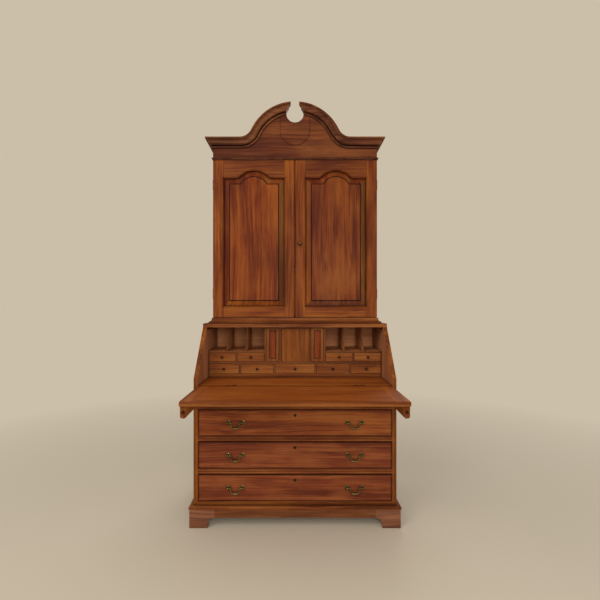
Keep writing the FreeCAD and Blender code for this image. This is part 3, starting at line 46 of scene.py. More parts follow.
print("frame loaded:", len(nodes), "nodes")


def freshStart():
    bpy.ops.object.select_all(action="DESELECT")


# camera straight in front of the desk, looking level
cameraValues = {
    "lens": 25.04,
    "sensor": 36.0,
    "place": (0.0, -2.2968, 1.162),
    "shift": (5 / 600, 6 / 600),
}


def makeCamera(values):
    freshStart()
    bpy.ops.object.camera_add(location=values["place"], rotation=(math.radians(90), 0, 0))
    camera = bpy.context.object
    camera.name = "frontCamera"
    camera.data.lens = values["lens"]
    camera.data.sensor_width = values["sensor"]
    camera.data.shift_x, camera.data.shift_y = values["shift"]
    scene.camera = camera


makeCamera(cameraValues)


# small helpers for node trees
def put(tree, kind, values=None, **settings):
    node = tree.nodes.new(kind)
    for name, value in settings.items():
        setattr(node, name, value)
    for name, value in (values or {}).items():
        if isinstance(value, bpy.types.NodeSocket):
            tree.links.new(value, node.inputs[name])
        else:
            node.inputs[name].default_value = value
    return node


def newGroup(name, inputs, outputs):
    tree = bpy.data.node_groups.new(name, "ShaderNodeTree")
    for label, kind, default in inputs:
        socket = tree.interface.new_socket(label, in_out="INPUT", socket_type=kind)
        if default is not None:
            socket.default_value = default
    for label, kind in outputs:
        tree.interface.new_socket(label, in_out="OUTPUT", socket_type=kind)
    return tree, tree.nodes.new("NodeGroupInput"), tree.nodes.new("NodeGroupOutput")


def mathNode(tree, operation, first, second=None, clamp=False):
    values = {0: first}
    if second is not None:
        values[1] = second
    return put(tree, "ShaderNodeMath", values, operation=operation, use_clamp=clamp).outputs[0]


def mixColour(tree, factor, first, second):
    return put(tree, "ShaderNodeMix", {0: factor, 6: first, 7: second}, data_type="RGBA").outputs[2]


def stretched(tree, vector, scale):
    return put(tree, "ShaderNodeVectorMath", {0: vector, 1: scale}, operation="MULTIPLY").outputs[0]


def noiseOf(tree, vector, scale, detail, rough):
    values = {"Vector": vector, "Scale": scale, "Detail": detail, "Roughness": rough}
    return put(tree, "ShaderNodeTexNoise", values).outputs["Fac"]


def spread(tree, value, low, high):
    values = {"Value": value, "From Min": low, "From Max": high}
    return put(tree, "ShaderNodeMapRange", values, clamp=True).outputs["Result"]


def newMaterial(name):
    material = bpy.data.materials.new(name)
    material.use_nodes = True
    tree = material.node_tree
    shader = tree.nodes["Principled BSDF"]
    return material, tree, shader, put(tree, "ShaderNodeTexCoord").outputs["Object"]


# soft studio light over a pale floor that fades into an even backdrop
studioValues = {
    "paperColour": (0.6, 0.52, 0.4, 1),
    "paperRough": 0.9,
    "paperSpecular": 0.1,
    "worldColour": (1.0, 0.985, 0.96, 1),
    "worldStrength": 0.46,
    "lamps": (
        ("keyLamp", (-2.0, -3.0, 3.2), (0, 0.1, 1.1), 2.4, 62, (1.0, 0.96, 0.9)),
        ("frontLamp", (0.2, -3.6, 1.62), (0, 0.1, 1.0), 1.6, 64, (1.0, 0.98, 0.95)),
        ("fillLamp", (2.8, -3.2, 1.6), (0, 0.1, 0.9), 2.8, 14, (1.0, 0.98, 0.96)),
        ("backLamp", (0.6, 3.2, 3.4), (0, 0.2, 1.4), 2.4, 40, (0.98, 0.99, 1.0)),
    ),
    "floorSize": 60.0,
    "fadeFrom": 1.3,
    "fadeTo": 3.6,
}


def aimAt(place, target):
    return (Vector(target) - Vector(place)).to_track_quat("-Z", "Y").to_euler()


# true for what the camera sees and for what shines back at it
def seenRays(tree):
    rays = put(tree, "ShaderNodeLightPath").outputs
    glint = mathNode(tree, "MAXIMUM", rays["Is Glossy Ray"], rays["Is Transmission Ray"])
    return mathNode(tree, "MAXIMUM", rays["Is Camera Ray"], glint)


def floorMaterial(values):
    material, tree, shader, place = newMaterial("studioPaper")
    shader.inputs["Base Color"].default_value = values["paperColour"]
    shader.inputs["Roughness"].default_value = values["paperRough"]
    shader.inputs["Specular IOR Level"].default_value = values["paperSpecular"]
    away = put(tree, "ShaderNodeVectorMath", {0: place}, operation="LENGTH").outputs["Value"]
    fade = spread(tree, away, values["fadeFrom"], values["fadeTo"])
    seen = seenRays(tree)
    even = put(tree, "ShaderNodeEmission", {"Color": values["paperColour"], "Strength": 1.0})
    share = mathNode(tree, "MULTIPLY", fade, seen)
    mix = put(tree, "ShaderNodeMixShader", {0: share, 1: shader.outputs[0], 2: even.outputs[0]})
    tree.links.new(mix.outputs[0], tree.nodes["Material Output"].inputs["Surface"])
    return material


def makeStudio(values):
    freshStart()
    bpy.ops.mesh.primitive_plane_add(size=values["floorSize"], location=(0, 0, 0))
    floor = bpy.context.object
    floor.name = "studioFloor"
    floor.data.materials.append(floorMaterial(values))
    for name, place, target, size, power, colour in values["lamps"]:
        bpy.ops.object.light_add(type="AREA", location=place, rotation=aimAt(place, target))
        lamp = bpy.context.object
        lamp.name = name
        lamp.visible_camera = False
        lamp.data.shape = "DISK"
        lamp.data.size = size
        lamp.data.energy = power
        lamp.data.color = colour
    world = bpy.data.worlds.new("studioWorld")
    scene.world = world
    world.use_nodes = True
    tree = world.node_tree
    soft = tree.nodes["Background"]
    soft.inputs["Color"].default_value = values["worldColour"]
    soft.inputs["Strength"].default_value = values["worldStrength"]
    plain = put(tree, "ShaderNodeBackground", {"Color": values["paperColour"], "Strength": 1.0})
    seen = seenRays(tree)
    mix = put(tree, "ShaderNodeMixShader", {0: seen, 1: soft.outputs[0], 2: plain.outputs[0]})
    tree.links.new(mix.outputs[0], tree.nodes["World Output"].inputs["Surface"])


makeStudio(studioValues)
print("studio ready")


# wood grain that runs along X of the vector it is given
grainValues = {
    "wander": (1.1, 4.0, 4.0),
    "wanderReach": (0.0, 0.07, 0.07),
    "bands": ((0.9, 24.0, 24.0), 3.0, 0.55),  # stretch, detail and roughness of each noise
    "streaks": ((2.4, 95.0, 95.0), 4.0, 0.6),
    "fibres": ((16.0, 620.0, 620.0), 3.0, 0.6),
    "pores": ((60.0, 1500.0, 1500.0), 1.0, 0.5),
    "cloud": ((2.2, 5.5, 5.5), 3.0, 0.55),
    "tints": (  # noise, from, to, share, colour and the input that scales it
        ("bands", 0.48, 0.3, 0.85, "Glow", "Figure"),
        ("bands", 0.46, 0.66, 0.65, "Deep", "Figure"),
        ("streaks", 0.5, 0.68, 0.72, "Deep", None),
        ("streaks", 0.48, 0.3, 0.6, "Glow", None),
        ("cloud", 0.5, 0.68, 0.65, "Deep", "Cloud"),
        ("cloud", 0.5, 0.34, 0.65, "Glow", "Cloud"),
        ("pores", 0.6, 0.72, 0.45, "Deep", None),
        ("fibres", 0.4, 0.7, 0.22, "Deep", None),
    ),
    "poreRange": (0.6, 0.72),
    "streakRough": 0.22,
    "poreRough": 0.2,
    "cloudRough": 0.12,
    "fibreHeight": 0.35,
}


def makeGrainGroup(values):
    tree, given, result = newGroup(
        "woodGrain",
        [
            ("Vector", "NodeSocketVector", None),
            ("Base", "NodeSocketColor", (0.35, 0.13, 0.04, 1)),
            ("Deep", "NodeSocketColor", (0.14, 0.04, 0.015, 1)),
            ("Glow", "NodeSocketColor", (0.5, 0.22, 0.06, 1)),
            ("Figure", "NodeSocketFloat", 1.0),
            ("Cloud", "NodeSocketFloat", 0.5),
        ],
        [("Color", "NodeSocketColor"), ("Rough", "NodeSocketFloat"), ("Height", "NodeSocketFloat")],
    )
    vector = given.outputs["Vector"]
    # the lines wander a little, but never along the grain
    loose = {"Vector": stretched(tree, vector, values["wander"]), "Scale": 1.0, "Detail": 2.0}
    wander = put(tree, "ShaderNodeTexNoise", loose).outputs["Color"]
    centred = {0: wander, 1: (0.5, 0.5, 0.5)}
    shift = put(tree, "ShaderNodeVectorMath", centred, operation="SUBTRACT").outputs[0]
    shift = stretched(tree, shift, values["wanderReach"])
    bent = put(tree, "ShaderNodeVectorMath", {0: vector, 1: shift}, operation="ADD").outputs[0]
    # broad growth bands, streaks, fine fibres, open pores, and clouds over them all
    noises = {}
    for name in ("bands", "streaks", "fibres", "pores", "cloud"):
        stretch, detail, rough = values[name]
        source = vector if name == "cloud" else bent
        noises[name] = noiseOf(tree, stretched(tree, source, stretch), 1.0, detail, rough)
    colour = given.outputs["Base"]
    for name, low, high, share, tone, scale in values["tints"]:
        mask = spread(tree, noises[name], low, high)
        if scale:
            mask = mathNode(tree, "MULTIPLY", mask, given.outputs[scale], clamp=True)
        colour = mixColour(tree, mathNode(tree, "MULTIPLY", mask, share), colour, given.outputs[tone])
    pores = spread(tree, noises["pores"], *values["poreRange"])
    parts = ((noises["streaks"], "streakRough"), (pores, "poreRough"), (noises["cloud"], "cloudRough"))
    shares = [mathNode(tree, "MULTIPLY", noise, values[name]) for noise, name in parts]
    rough = mathNode(tree, "ADD", mathNode(tree, "ADD", shares[0], shares[1]), shares[2])
    raised = mathNode(tree, "MULTIPLY", noises["fibres"], values["fibreHeight"])
    tree.links.new(colour, result.inputs["Color"])
    tree.links.new(rough, result.inputs["Rough"])
    tree.links.new(mathNode(tree, "SUBTRACT", raised, pores), result.inputs["Height"])
    return tree


# old polish and painted light: corners darkened as dirt and painted shade, edges rubbed pale as wear and
# painted highlight
polishAndLightValues = {
    "cornerReach": 0.017,
    "corner": (0.93, 0.42),
    "unevenScale": 9.0,
    "unevenGain": 0.9,
    "unevenLeast": 0.5,
    "edgeRadius": 0.004,
    "edge": (0.995, 0.86),
    "scuffScale": 26.0,
    "scuff": (0.38, 0.62),
    "open": (0.55, 0.9),
}


def makePolishAndLightGroup(values):
    tree, given, result = newGroup(
        "oldPolishAndPaintedLight",
        [
            ("Color", "NodeSocketColor", (0.3, 0.1, 0.04, 1)),
            ("Dirt", "NodeSocketColor", (0.03, 0.012, 0.006, 1)),
            ("Rubbed", "NodeSocketColor", (0.5, 0.22, 0.07, 1)),
            ("Dirt And Shade Share", "NodeSocketFloat", 0.8),
            ("Rub And Highlight Share", "NodeSocketFloat", 0.5),
            ("Edge Shade Line", "NodeSocketFloat", 0.0),
            ("Grime", "NodeSocketFloat", 0.0),
        ],
        [("Color", "NodeSocketColor"), ("Dirt", "NodeSocketFloat"), ("Rub", "NodeSocketFloat")],
    )
    # ambient occlusion darkens the corners and hollows as painted shade, made uneven like dirt
    reach = {"Distance": values["cornerReach"]}
    corner = put(tree, "ShaderNodeAmbientOcclusion", reach, samples=8).outputs["AO"]
    place = put(tree, "ShaderNodeTexCoord").outputs["Object"]
    uneven = noiseOf(tree, place, values["unevenScale"], 4.0, 0.6)
    uneven = mathNode(tree, "MULTIPLY", uneven, values["unevenGain"])
    uneven = mathNode(tree, "ADD", uneven, values["unevenLeast"])
    dirt = mathNode(tree, "MULTIPLY", spread(tree, corner, *values["corner"]), uneven, clamp=True)
    dirt = mathNode(tree, "MULTIPLY", dirt, given.outputs["Dirt And Shade Share"], clamp=True)
    # edges found from a bevelled normal are lightened: wear with a painted highlight, kept out of the corners
    softNormal = put(tree, "ShaderNodeBevel", {"Radius": values["edgeRadius"]}, samples=4).outputs[0]
    trueNormal = put(tree, "ShaderNodeNewGeometry").outputs["Normal"]
    normals = {0: softNormal, 1: trueNormal}
    facing = put(tree, "ShaderNodeVectorMath", normals, operation="DOT_PRODUCT").outputs["Value"]
    edge = spread(tree, facing, *values["edge"])
    scuff = spread(tree, noiseOf(tree, place, values["scuffScale"], 5.0, 0.65), *values["scuff"])
    rub = mathNode(tree, "MULTIPLY", edge, scuff)
    rub = mathNode(tree, "MULTIPLY", rub, given.outputs["Rub And Highlight Share"], clamp=True)
    rub = mathNode(tree, "MULTIPLY", rub, spread(tree, corner, *values["open"]))
    # a dark line painted along the edges as shade, joined by the shade band that a material brings
    line = mathNode(tree, "MULTIPLY", edge, given.outputs["Edge Shade Line"], clamp=True)
    dirt = mathNode(tree, "MAXIMUM", mathNode(tree, "MAXIMUM", dirt, line), given.outputs["Grime"])
    colour = mixColour(tree, rub, given.outputs["Color"], given.outputs["Rubbed"])
    colour = mixColour(tree, dirt, colour, given.outputs["Dirt"])
    tree.links.new(colour, result.inputs["Color"])
    tree.links.new(dirt, result.inputs["Dirt"])
    tree.links.new(rub, result.inputs["Rub"])
    return tree


grainGroup = makeGrainGroup(grainValues)
polishAndLightGroup = makePolishAndLightGroup(polishAndLightValues)

# turns that lay the grain along X, Y or Z of the desk
grainTurns = {
    "along": (0, 0, 0),
    "deep": (0, 0, math.radians(90)),
    "upright": (0, math.radians(90), 0),
}
bevelCoat = {"figure": 1.0, "cloud": 0.8, "gloss": 0.4, "edgeShadeLine": 0.7, "rub": 0.1}
woodValues = {
    "carcass": {"base": (0.2, 0.053, 0.0085), "deep": (0.066, 0.0145, 0.005), "glow": (0.31, 0.105, 0.016)},
    "divider": {
        "base": (0.215, 0.056, 0.0135), "deep": (0.078, 0.0175, 0.006), "glow": (0.33, 0.11, 0.024),
        "dirt": 0.8, "rub": 0.4, "edgeShadeLine": 0.5,
    },
    "pediment": {
        "base": (0.148, 0.037, 0.0105), "deep": (0.054, 0.0115, 0.006), "glow": (0.235, 0.078, 0.021),
        "figure": 1.0, "cloud": 0.9, "gloss": 0.45, "edgeShadeLine": 0.75, "rub": 0.2,
    },
    "cornice": {
        "base": (0.115, 0.033, 0.0125), "deep": (0.032, 0.008, 0.006), "glow": (0.25, 0.093, 0.033),
        "cloud": 0.75, "gloss": 0.45, "dirt": 1.0, "rub": 1.0,
    },
    "doorFrame": {
        "base": (0.21, 0.049, 0.0074), "deep": (0.074, 0.0135, 0.004), "glow": (0.32, 0.1, 0.013),
        "edgeShadeLine": 0.9, "rub": 0.1,
    },
    "doorHead": {
        "base": (0.145, 0.033, 0.0072), "deep": (0.052, 0.01, 0.0045), "glow": (0.225, 0.068, 0.013),
        "cloud": 0.8, "edgeShadeLine": 0.9, "rub": 0.1,
    },
    "panel": {
        "base": (0.195, 0.037, 0.0042), "deep": (0.066, 0.0095, 0.003), "glow": (0.31, 0.086, 0.009),
        "figure": 1.0, "cloud": 0.95, "gloss": 0.4, "edgeShadeLine": 0.6, "rub": 0.1,
    },
    "rightPanel": {
        "base": (0.16, 0.032, 0.0055), "deep": (0.056, 0.009, 0.0035), "glow": (0.265, 0.075, 0.0105),
        "figure": 1.0, "cloud": 0.95, "gloss": 0.4, "edgeShadeLine": 0.6, "rub": 0.1,
    },
    # shaded and lit copies of the bevel finish, painted by the way a bevel faces
    "shadedBevel": {
        "base": (0.15, 0.0265, 0.005), "deep": (0.06, 0.009, 0.0035), "glow": (0.235, 0.063, 0.009),
        **bevelCoat,
    },
    "litBevel": {
        "base": (0.22, 0.052, 0.0075), "deep": (0.085, 0.016, 0.004), "glow": (0.33, 0.1, 0.013),
        **bevelCoat,
    },
    "shadedOliveBevel": {
        "base": (0.135, 0.042, 0.0085), "deep": (0.052, 0.014, 0.005), "glow": (0.205, 0.078, 0.016),
        **bevelCoat,
    },
    "shadedMauveBevel": {
        "base": (0.13, 0.036, 0.015), "deep": (0.055, 0.014, 0.008), "glow": (0.19, 0.065, 0.027),
        **bevelCoat,
    },
    # near black, painted as the shade in the quirk round a field and on a bead's flanks
    "quirkShade": {
        "base": (0.022, 0.0055, 0.0025), "deep": (0.012, 0.0035, 0.002), "glow": (0.04, 0.01, 0.004),
        "figure": 0.6, "cloud": 0.5, "gloss": 0.5,
    },
    "drawerFace": {
        "base": (0.188, 0.042, 0.0145), "deep": (0.066, 0.0135, 0.007), "glow": (0.305, 0.095, 0.027),
        "figure": 1.0, "cloud": 0.9, "gloss": 0.4,
    },
    # the top drawer is painted paler than the others, as light against the shadow of the fall front
    "litTopDrawer": {
        "base": (0.235, 0.056, 0.0145), "deep": (0.082, 0.017, 0.007), "glow": (0.37, 0.12, 0.026),
        "figure": 1.0, "cloud": 0.9, "gloss": 0.4,
    },
    "moulding": {
        "base": (0.17, 0.042, 0.0095), "deep": (0.058, 0.013, 0.005), "glow": (0.31, 0.105, 0.022),
        "cloud": 0.6, "gloss": 0.4, "rub": 0.9,
    },
    "skirt": {
        "base": (0.205, 0.066, 0.0195), "deep": (0.072, 0.021, 0.0095), "glow": (0.315, 0.125, 0.036),
        "dirt": 0.75,
    },
    # the feet are painted paler and greyer than the skirt, as a highlight
    "foot": {
        "base": (0.27, 0.104, 0.05), "deep": (0.105, 0.038, 0.021), "glow": (0.355, 0.155, 0.077),
        "gloss": 0.45, "dirt": 0.75,
    },
    "fallLeaf": {
        "base": (0.33, 0.081, 0.0125), "deep": (0.135, 0.028, 0.006), "glow": (0.44, 0.14, 0.021),
        "figure": 0.8, "cloud": 0.6,
    },
    "shadedFallEdge": {
        "base": (0.16, 0.038, 0.0075), "deep": (0.066, 0.0135, 0.004), "glow": (0.26, 0.08, 0.013),
        "figure": 0.8, "cloud": 0.6, "rub": 0.8,
    },
    "litFallLip": {
        "base": (0.225, 0.068, 0.0125), "deep": (0.098, 0.025, 0.006), "glow": (0.29, 0.105, 0.02),
        "figure": 0.8, "cloud": 0.6, "dirt": 0.4, "rub": 0.4,
    },
    "litLoperFlank": {
        "base": (0.42, 0.145, 0.03), "deep": (0.21, 0.064, 0.014), "glow": (0.52, 0.205, 0.048),
        "cloud": 0.6, "gloss": 0.5, "dirt": 0.6,
    },
    "galleryEdge": {
        "base": (0.165, 0.05, 0.0135), "deep": (0.066, 0.019, 0.007), "glow": (0.235, 0.085, 0.024),
        "figure": 0.8, "cloud": 0.6, "gloss": 0.48,
    },
    # the pigeonholes' insides and backs are painted far paler, as light in the deep hollows
    "litPigeonhole": {
        "base": (0.5, 0.19, 0.066), "deep": (0.27, 0.09, 0.034), "glow": (0.6, 0.26, 0.095),
        "figure": 0.8, "gloss": 0.5, "dirt": 0.7,
    },
    "litGalleryBack": {
        "base": (0.46, 0.185, 0.075), "deep": (0.27, 0.095, 0.039), "glow": (0.54, 0.235, 0.1),
        "figure": 0.8, "gloss": 0.55, "dirt": 0.7,
    },
    "galleryFace": {
        "base": (0.225, 0.062, 0.0125), "deep": (0.085, 0.02, 0.006), "glow": (0.315, 0.115, 0.023),
        "gloss": 0.45,
    },
    "prospect": {
        "base": (0.21, 0.058, 0.0085), "deep": (0.09, 0.021, 0.005), "glow": (0.3, 0.105, 0.015),
        "gloss": 0.45,
    },
    "sunkBorder": {
        "base": (0.15, 0.05, 0.013), "deep": (0.06, 0.018, 0.007), "glow": (0.22, 0.085, 0.022),
        "figure": 0.8, "cloud": 0.5, "gloss": 0.45,
    },
    "sunkField": {
        "base": (0.23, 0.042, 0.007), "deep": (0.09, 0.013, 0.004), "glow": (0.31, 0.075, 0.011),
        "cloud": 0.5, "gloss": 0.45,
    },
    "knobWood": {
        "base": (0.035, 0.009, 0.006), "deep": (0.016, 0.005, 0.004), "glow": (0.075, 0.02, 0.01),
        "figure": 0.6, "cloud": 0.4, "gloss": 0.35,
    },
    "inner": {
        "base": (0.3, 0.155, 0.062), "deep": (0.17, 0.075, 0.028), "glow": (0.4, 0.23, 0.105),
        "figure": 0.8, "cloud": 0.5, "gloss": 0.6,
    },
}

# painted shade along the joint between the fall front and the writing board
seamValues = {"finish": "fallLeaf", "place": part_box("lid_board")[1].y, "solid": 0.0035, "faded": 0.012}


def seamMask(tree, place, values):
    across = put(tree, "ShaderNodeSeparateXYZ", {0: place}).outputs["Y"]
    away = mathNode(tree, "ABSOLUTE", mathNode(tree, "SUBTRACT", across, values["place"]))
    return spread(tree, away, values["faded"], values["solid"])


# painted shade round the rim of a drawer's face
rimValues = {"solid": 0.003, "faded": 0.0095, "share": 0.62}


def rimMask(tree, place, box, values):
    low, high = box
    across = put(tree, "ShaderNodeSeparateXYZ", {0: place}).outputs
    nearest = None
    for axis, first, last in (("X", low.x, high.x), ("Z", low.z, high.z)):
        after = mathNode(tree, "SUBTRACT", across[axis], first)
        before = mathNode(tree, "SUBTRACT", last, across[axis])
        near = mathNode(tree, "MINIMUM", after, before)
        nearest = mathNode(tree, "MINIMUM", nearest, near) if nearest else near
    rimShade = spread(tree, nearest, values["faded"], values["solid"])
    return mathNode(tree, "MULTIPLY", rimShade, values["share"])


# what a wood has where its finish says nothing else
coatValues = {
    "figure": 0.9,
    "cloud": 0.7,
    "gloss": 0.42,
    "dirtAndShadeTone": 0.3,
    "dirt": 0.95,
    "rub": 0.5,
    "edgeShadeLine": 0.0,
    "smoother": 0.1,
    "dirtRough": 0.25,
    "bump": 0.25,
    "bumpDepth": 0.0006,
    "specular": 0.07,
}


def wood(finish, grain, offset=(0, 0, 0), rim=None):
    name = finish + grain.capitalize() + "".join("%+d" % round(10 * part) for part in offset if part)
    found = bpy.data.materials.get(name)
    if found:
        return found
    values = {**coatValues, **woodValues[finish]}
    material, tree, shader, place = newMaterial(name)
    turn = {"Vector": place, "Location": offset, "Rotation": grainTurns[grain]}
    timber = put(tree, "ShaderNodeGroup", {
        "Base": values["base"] + (1,),
        "Deep": values["deep"] + (1,),
        "Glow": values["glow"] + (1,),
        "Figure": values["figure"],
        "Cloud": values["cloud"],
    }, node_tree=grainGroup)
    tree.links.new(put(tree, "ShaderNodeMapping", turn).outputs[0], timber.inputs["Vector"])
    polishAndLight = put(tree, "ShaderNodeGroup", {
        "Color": timber.outputs["Color"],
        "Rubbed": values["glow"] + (1,),
        "Dirt": tuple(values["dirtAndShadeTone"] * part for part in values["deep"]) + (1,),
        "Dirt And Shade Share": values["dirt"],
        "Rub And Highlight Share": values["rub"],
        "Edge Shade Line": values["edgeShadeLine"],
    }, node_tree=polishAndLightGroup)
    if finish == seamValues["finish"]:
        tree.links.new(seamMask(tree, place, seamValues), polishAndLight.inputs["Grime"])
    if rim:
        tree.links.new(rimMask(tree, place, rim, rimValues), polishAndLight.inputs["Grime"])
    rough = mathNode(tree, "ADD", timber.outputs["Rough"], values["gloss"] - values["smoother"])
    dusty = mathNode(tree, "MULTIPLY", polishAndLight.outputs["Dirt"], values["dirtRough"])
    height = {"Height": timber.outputs["Height"], "Strength": values["bump"], "Distance": values["bumpDepth"]}
    tree.links.new(polishAndLight.outputs["Color"], shader.inputs["Base Color"])
    tree.links.new(mathNode(tree, "ADD", rough, dusty, clamp=True), shader.inputs["Roughness"])
    tree.links.new(put(tree, "ShaderNodeBump", height).outputs[0], shader.inputs["Normal"])
    shader.inputs["Specular IOR Level"].default_value = values["specular"]
    return material


# dull brass, dark in its corners as dirt and painted shade, pale on its edges as wear and painted highlight,
# and nearly brown where it is sunk in the wood
brassValues = {
    "agedBrass": {
        "bright": (0.17, 0.125, 0.04, 1), "dull": (0.05, 0.039, 0.015, 1),
        "rubbed": (0.33, 0.25, 0.09, 1), "dirt": (0.02, 0.015, 0.008, 1),
        "tarnishScale": 90.0, "rough": 0.36,
    },
    "sunkBrass": {
        "bright": (0.06, 0.032, 0.011, 1), "dull": (0.03, 0.014, 0.006, 1),
        "rubbed": (0.1, 0.055, 0.02, 1), "dirt": (0.012, 0.007, 0.004, 1),
        "tarnishScale": 60.0, "rough": 0.5,
    },
    "waxedBrass": {
        "bright": (0.2, 0.072, 0.017, 1), "dull": (0.13, 0.042, 0.01, 1),
        "rubbed": (0.25, 0.1, 0.03, 1), "dirt": (0.06, 0.02, 0.007, 1),
        "tarnishScale": 70.0, "rough": 0.6,
    },
}
tarnishValues = {
    "range": (0.4, 0.68), "share": 0.75, "rough": 0.28, "speck": 9, "bump": 0.18, "bumpDepth": 0.0004,
}


def brassMaterial(name):
    values = brassValues[name]
    material, tree, shader, place = newMaterial(name)
    blotch = noiseOf(tree, place, values["tarnishScale"], 4.0, 0.6)
    speck = noiseOf(tree, place, values["tarnishScale"] * tarnishValues["speck"], 2.0, 0.5)
    tarnish = spread(tree, blotch, *tarnishValues["range"])
    share = mathNode(tree, "MULTIPLY", tarnish, tarnishValues["share"])
    polishAndLight = put(tree, "ShaderNodeGroup", {
        "Color": mixColour(tree, share, values["bright"], values["dull"]),
        "Rubbed": values["rubbed"],
        "Dirt": values["dirt"],
    }, node_tree=polishAndLightGroup)
    dulled = mathNode(tree, "MULTIPLY", tarnish, tarnishValues["rough"])
    height = {"Height": speck, "Strength": tarnishValues["bump"], "Distance": tarnishValues["bumpDepth"]}
    tree.links.new(polishAndLight.outputs["Color"], shader.inputs["Base Color"])
    tree.links.new(mathNode(tree, "ADD", dulled, values["rough"]), shader.inputs["Roughness"])
    tree.links.new(put(tree, "ShaderNodeBump", height).outputs[0], shader.inputs["Normal"])
    shader.inputs["Metallic"].default_value = 1.0
    return material


brass = brassMaterial("agedBrass")
sunkBrass = brassMaterial("sunkBrass")
waxedBrass = brassMaterial("waxedBrass")

# black iron with some rust, for the nails in the back and the slots of the screws
ironValues = {
    "black": (0.05, 0.045, 0.042, 1),
    "rust": (0.1, 0.042, 0.02, 1),
    "scale": 240.0,
    "range": (0.4, 0.62),
    "rough": 0.45,
    "rustRough": 0.3,
    "bump": 0.3,
    "bumpDepth": 0.0005,
    "metal": 0.7,
}


def ironMaterial(values):
    material, tree, shader, place = newMaterial("nailIron")
    bloom = noiseOf(tree, place, values["scale"], 4.0, 0.65)
    rust = spread(tree, bloom, *values["range"])
    crust = mathNode(tree, "MULTIPLY", rust, values["rustRough"])
    height = {"Height": bloom, "Strength": values["bump"], "Distance": values["bumpDepth"]}
    tree.links.new(mixColour(tree, rust, values["black"], values["rust"]), shader.inputs["Base Color"])
    tree.links.new(mathNode(tree, "ADD", crust, values["rough"]), shader.inputs["Roughness"])
    tree.links.new(put(tree, "ShaderNodeBump", height).outputs[0], shader.inputs["Normal"])
    shader.inputs["Metallic"].default_value = values["metal"]
    return material


iron = ironMaterial(ironValues)
print("finishes ready")


# each node gets its finishes, and each face the one that fits its place
def dressMesh(mesh, materials, choose=None):
    mesh.materials.clear()
    for material in materials:
        mesh.materials.append(material)
    for polygon in mesh.polygons:
        polygon.material_index = choose(polygon) if choose else 0


def dress(name, materials, choose=None):
    dressMesh(nodes[name].data, materials, choose)


# how far a face has turned, as the share of its normal along an axis
turnLimits = {
    "side": 0.6,
    "square": 0.9,
    "flat": 0.98,
    "flank": 0.7,
    "cut": 0.3,
    "roundEdge": 0.35,
    "panelBack": 0.5,
    "bevel": (-0.999, -0.2),
    "bead": (-0.45, 0.9),
}
# depths and widths in metres that tell one part of a node from another
placeLimits = {
    "gapHalf": 0.07,
    "lipHeight": 0.0097,
    "loperEnd": 0.0216,
    "frameMargin": 0.008,
    "fieldDepth": 0.001,
    "keyholeHalf": 0.06,
    "knobDepth": 0.0004,
    "faceDepth": 0.0121,
    "borderDepth": 0.003,
}
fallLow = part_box("lid_board")[0]
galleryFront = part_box("prospect_door")[0].y
loperFront = fallLow.y + placeLimits["loperEnd"]
lipTop = fallLow.z + placeLimits["lipHeight"]


def bySide(polygon):
    return 1 if abs(polygon.normal.x) > turnLimits["side"] else 0


def byFront(polygon):
    return 1 if polygon.normal.y < -turnLimits["square"] else 0


# the inner faces of the desk's sides, seen beside the gallery, take the pigeonhole back's finish, painted
# paler as lit
def byInside(polygon):
    inward = polygon.normal.x * polygon.center.x < 0
    return 1 if inward and abs(polygon.normal.x) > turnLimits["square"] else 0


# ends and side returns have the grain across, and the gap's walls take the shaded bevel finish, painted dark
# as shade
def byPediment(polygon):
    inGap = abs(polygon.center.x) < placeLimits["gapHalf"] and abs(polygon.normal.y) < turnLimits["cut"]
    if inGap and polygon.normal.x * polygon.center.x < 0:
        return 2
    return bySide(polygon)


# the rounded edge of the fall front is painted dark as shade, and the flat lip under it is painted pale as a
# highlight
def byLip(polygon):
    if polygon.normal.y < -turnLimits["flat"] and polygon.center.z < lipTop:
        return 2
    return 1 if polygon.normal.y < -turnLimits["roundEdge"] else 0


# the flanks of a loper are mostly hidden in the case; they are bare wood, painted much paler as lit, though
# they sit in shade under the fall
def byLoper(polygon):
    if polygon.center.y < loperFront:
        return 1
    return 2 if abs(polygon.normal.x) > turnLimits["flank"] else 0


# the flanks of a drawer's bead are painted near black as shade lines
def byReturn(polygon):
    low, high = turnLimits["bead"]
    return 1 if low < polygon.normal.y < high else 0


# the keyhole plates in the middle have darkened more than the handles
def byMiddle(polygon):
    return 1 if abs(polygon.center.x) < placeLimits["keyholeHalf"] else 0


# front, knob and box of a small drawer
def drawerFaces(polygon):
    depth = polygon.center.y - galleryFront
    if depth < -placeLimits["knobDepth"]:
        return 1
    return 2 if depth > placeLimits["faceDepth"] else 0


# front, sunk field, its border and the box of a document drawer
def documentFaces(polygon):
    depth = polygon.center.y - galleryFront
    if depth > placeLimits["faceDepth"]:
        return 3
    if polygon.normal.y > -turnLimits["square"] or depth < placeLimits["fieldDepth"]:
        return 0
    return 1 if depth < placeLimits["borderDepth"] else 2


# the strip under the lowest drawers is painted dark as shadow, and the front edges keep a darker tone than
# the insides, which are painted paler as lit
def byStrip(polygon):
    if polygon.normal.y < -turnLimits["square"]:
        return 1 if polygon.center.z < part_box("lower_drawer_1")[0].z else 2
    return 0


def byEdge(polygon):
    return 0 if abs(polygon.normal.x) > turnLimits["flank"] else 1


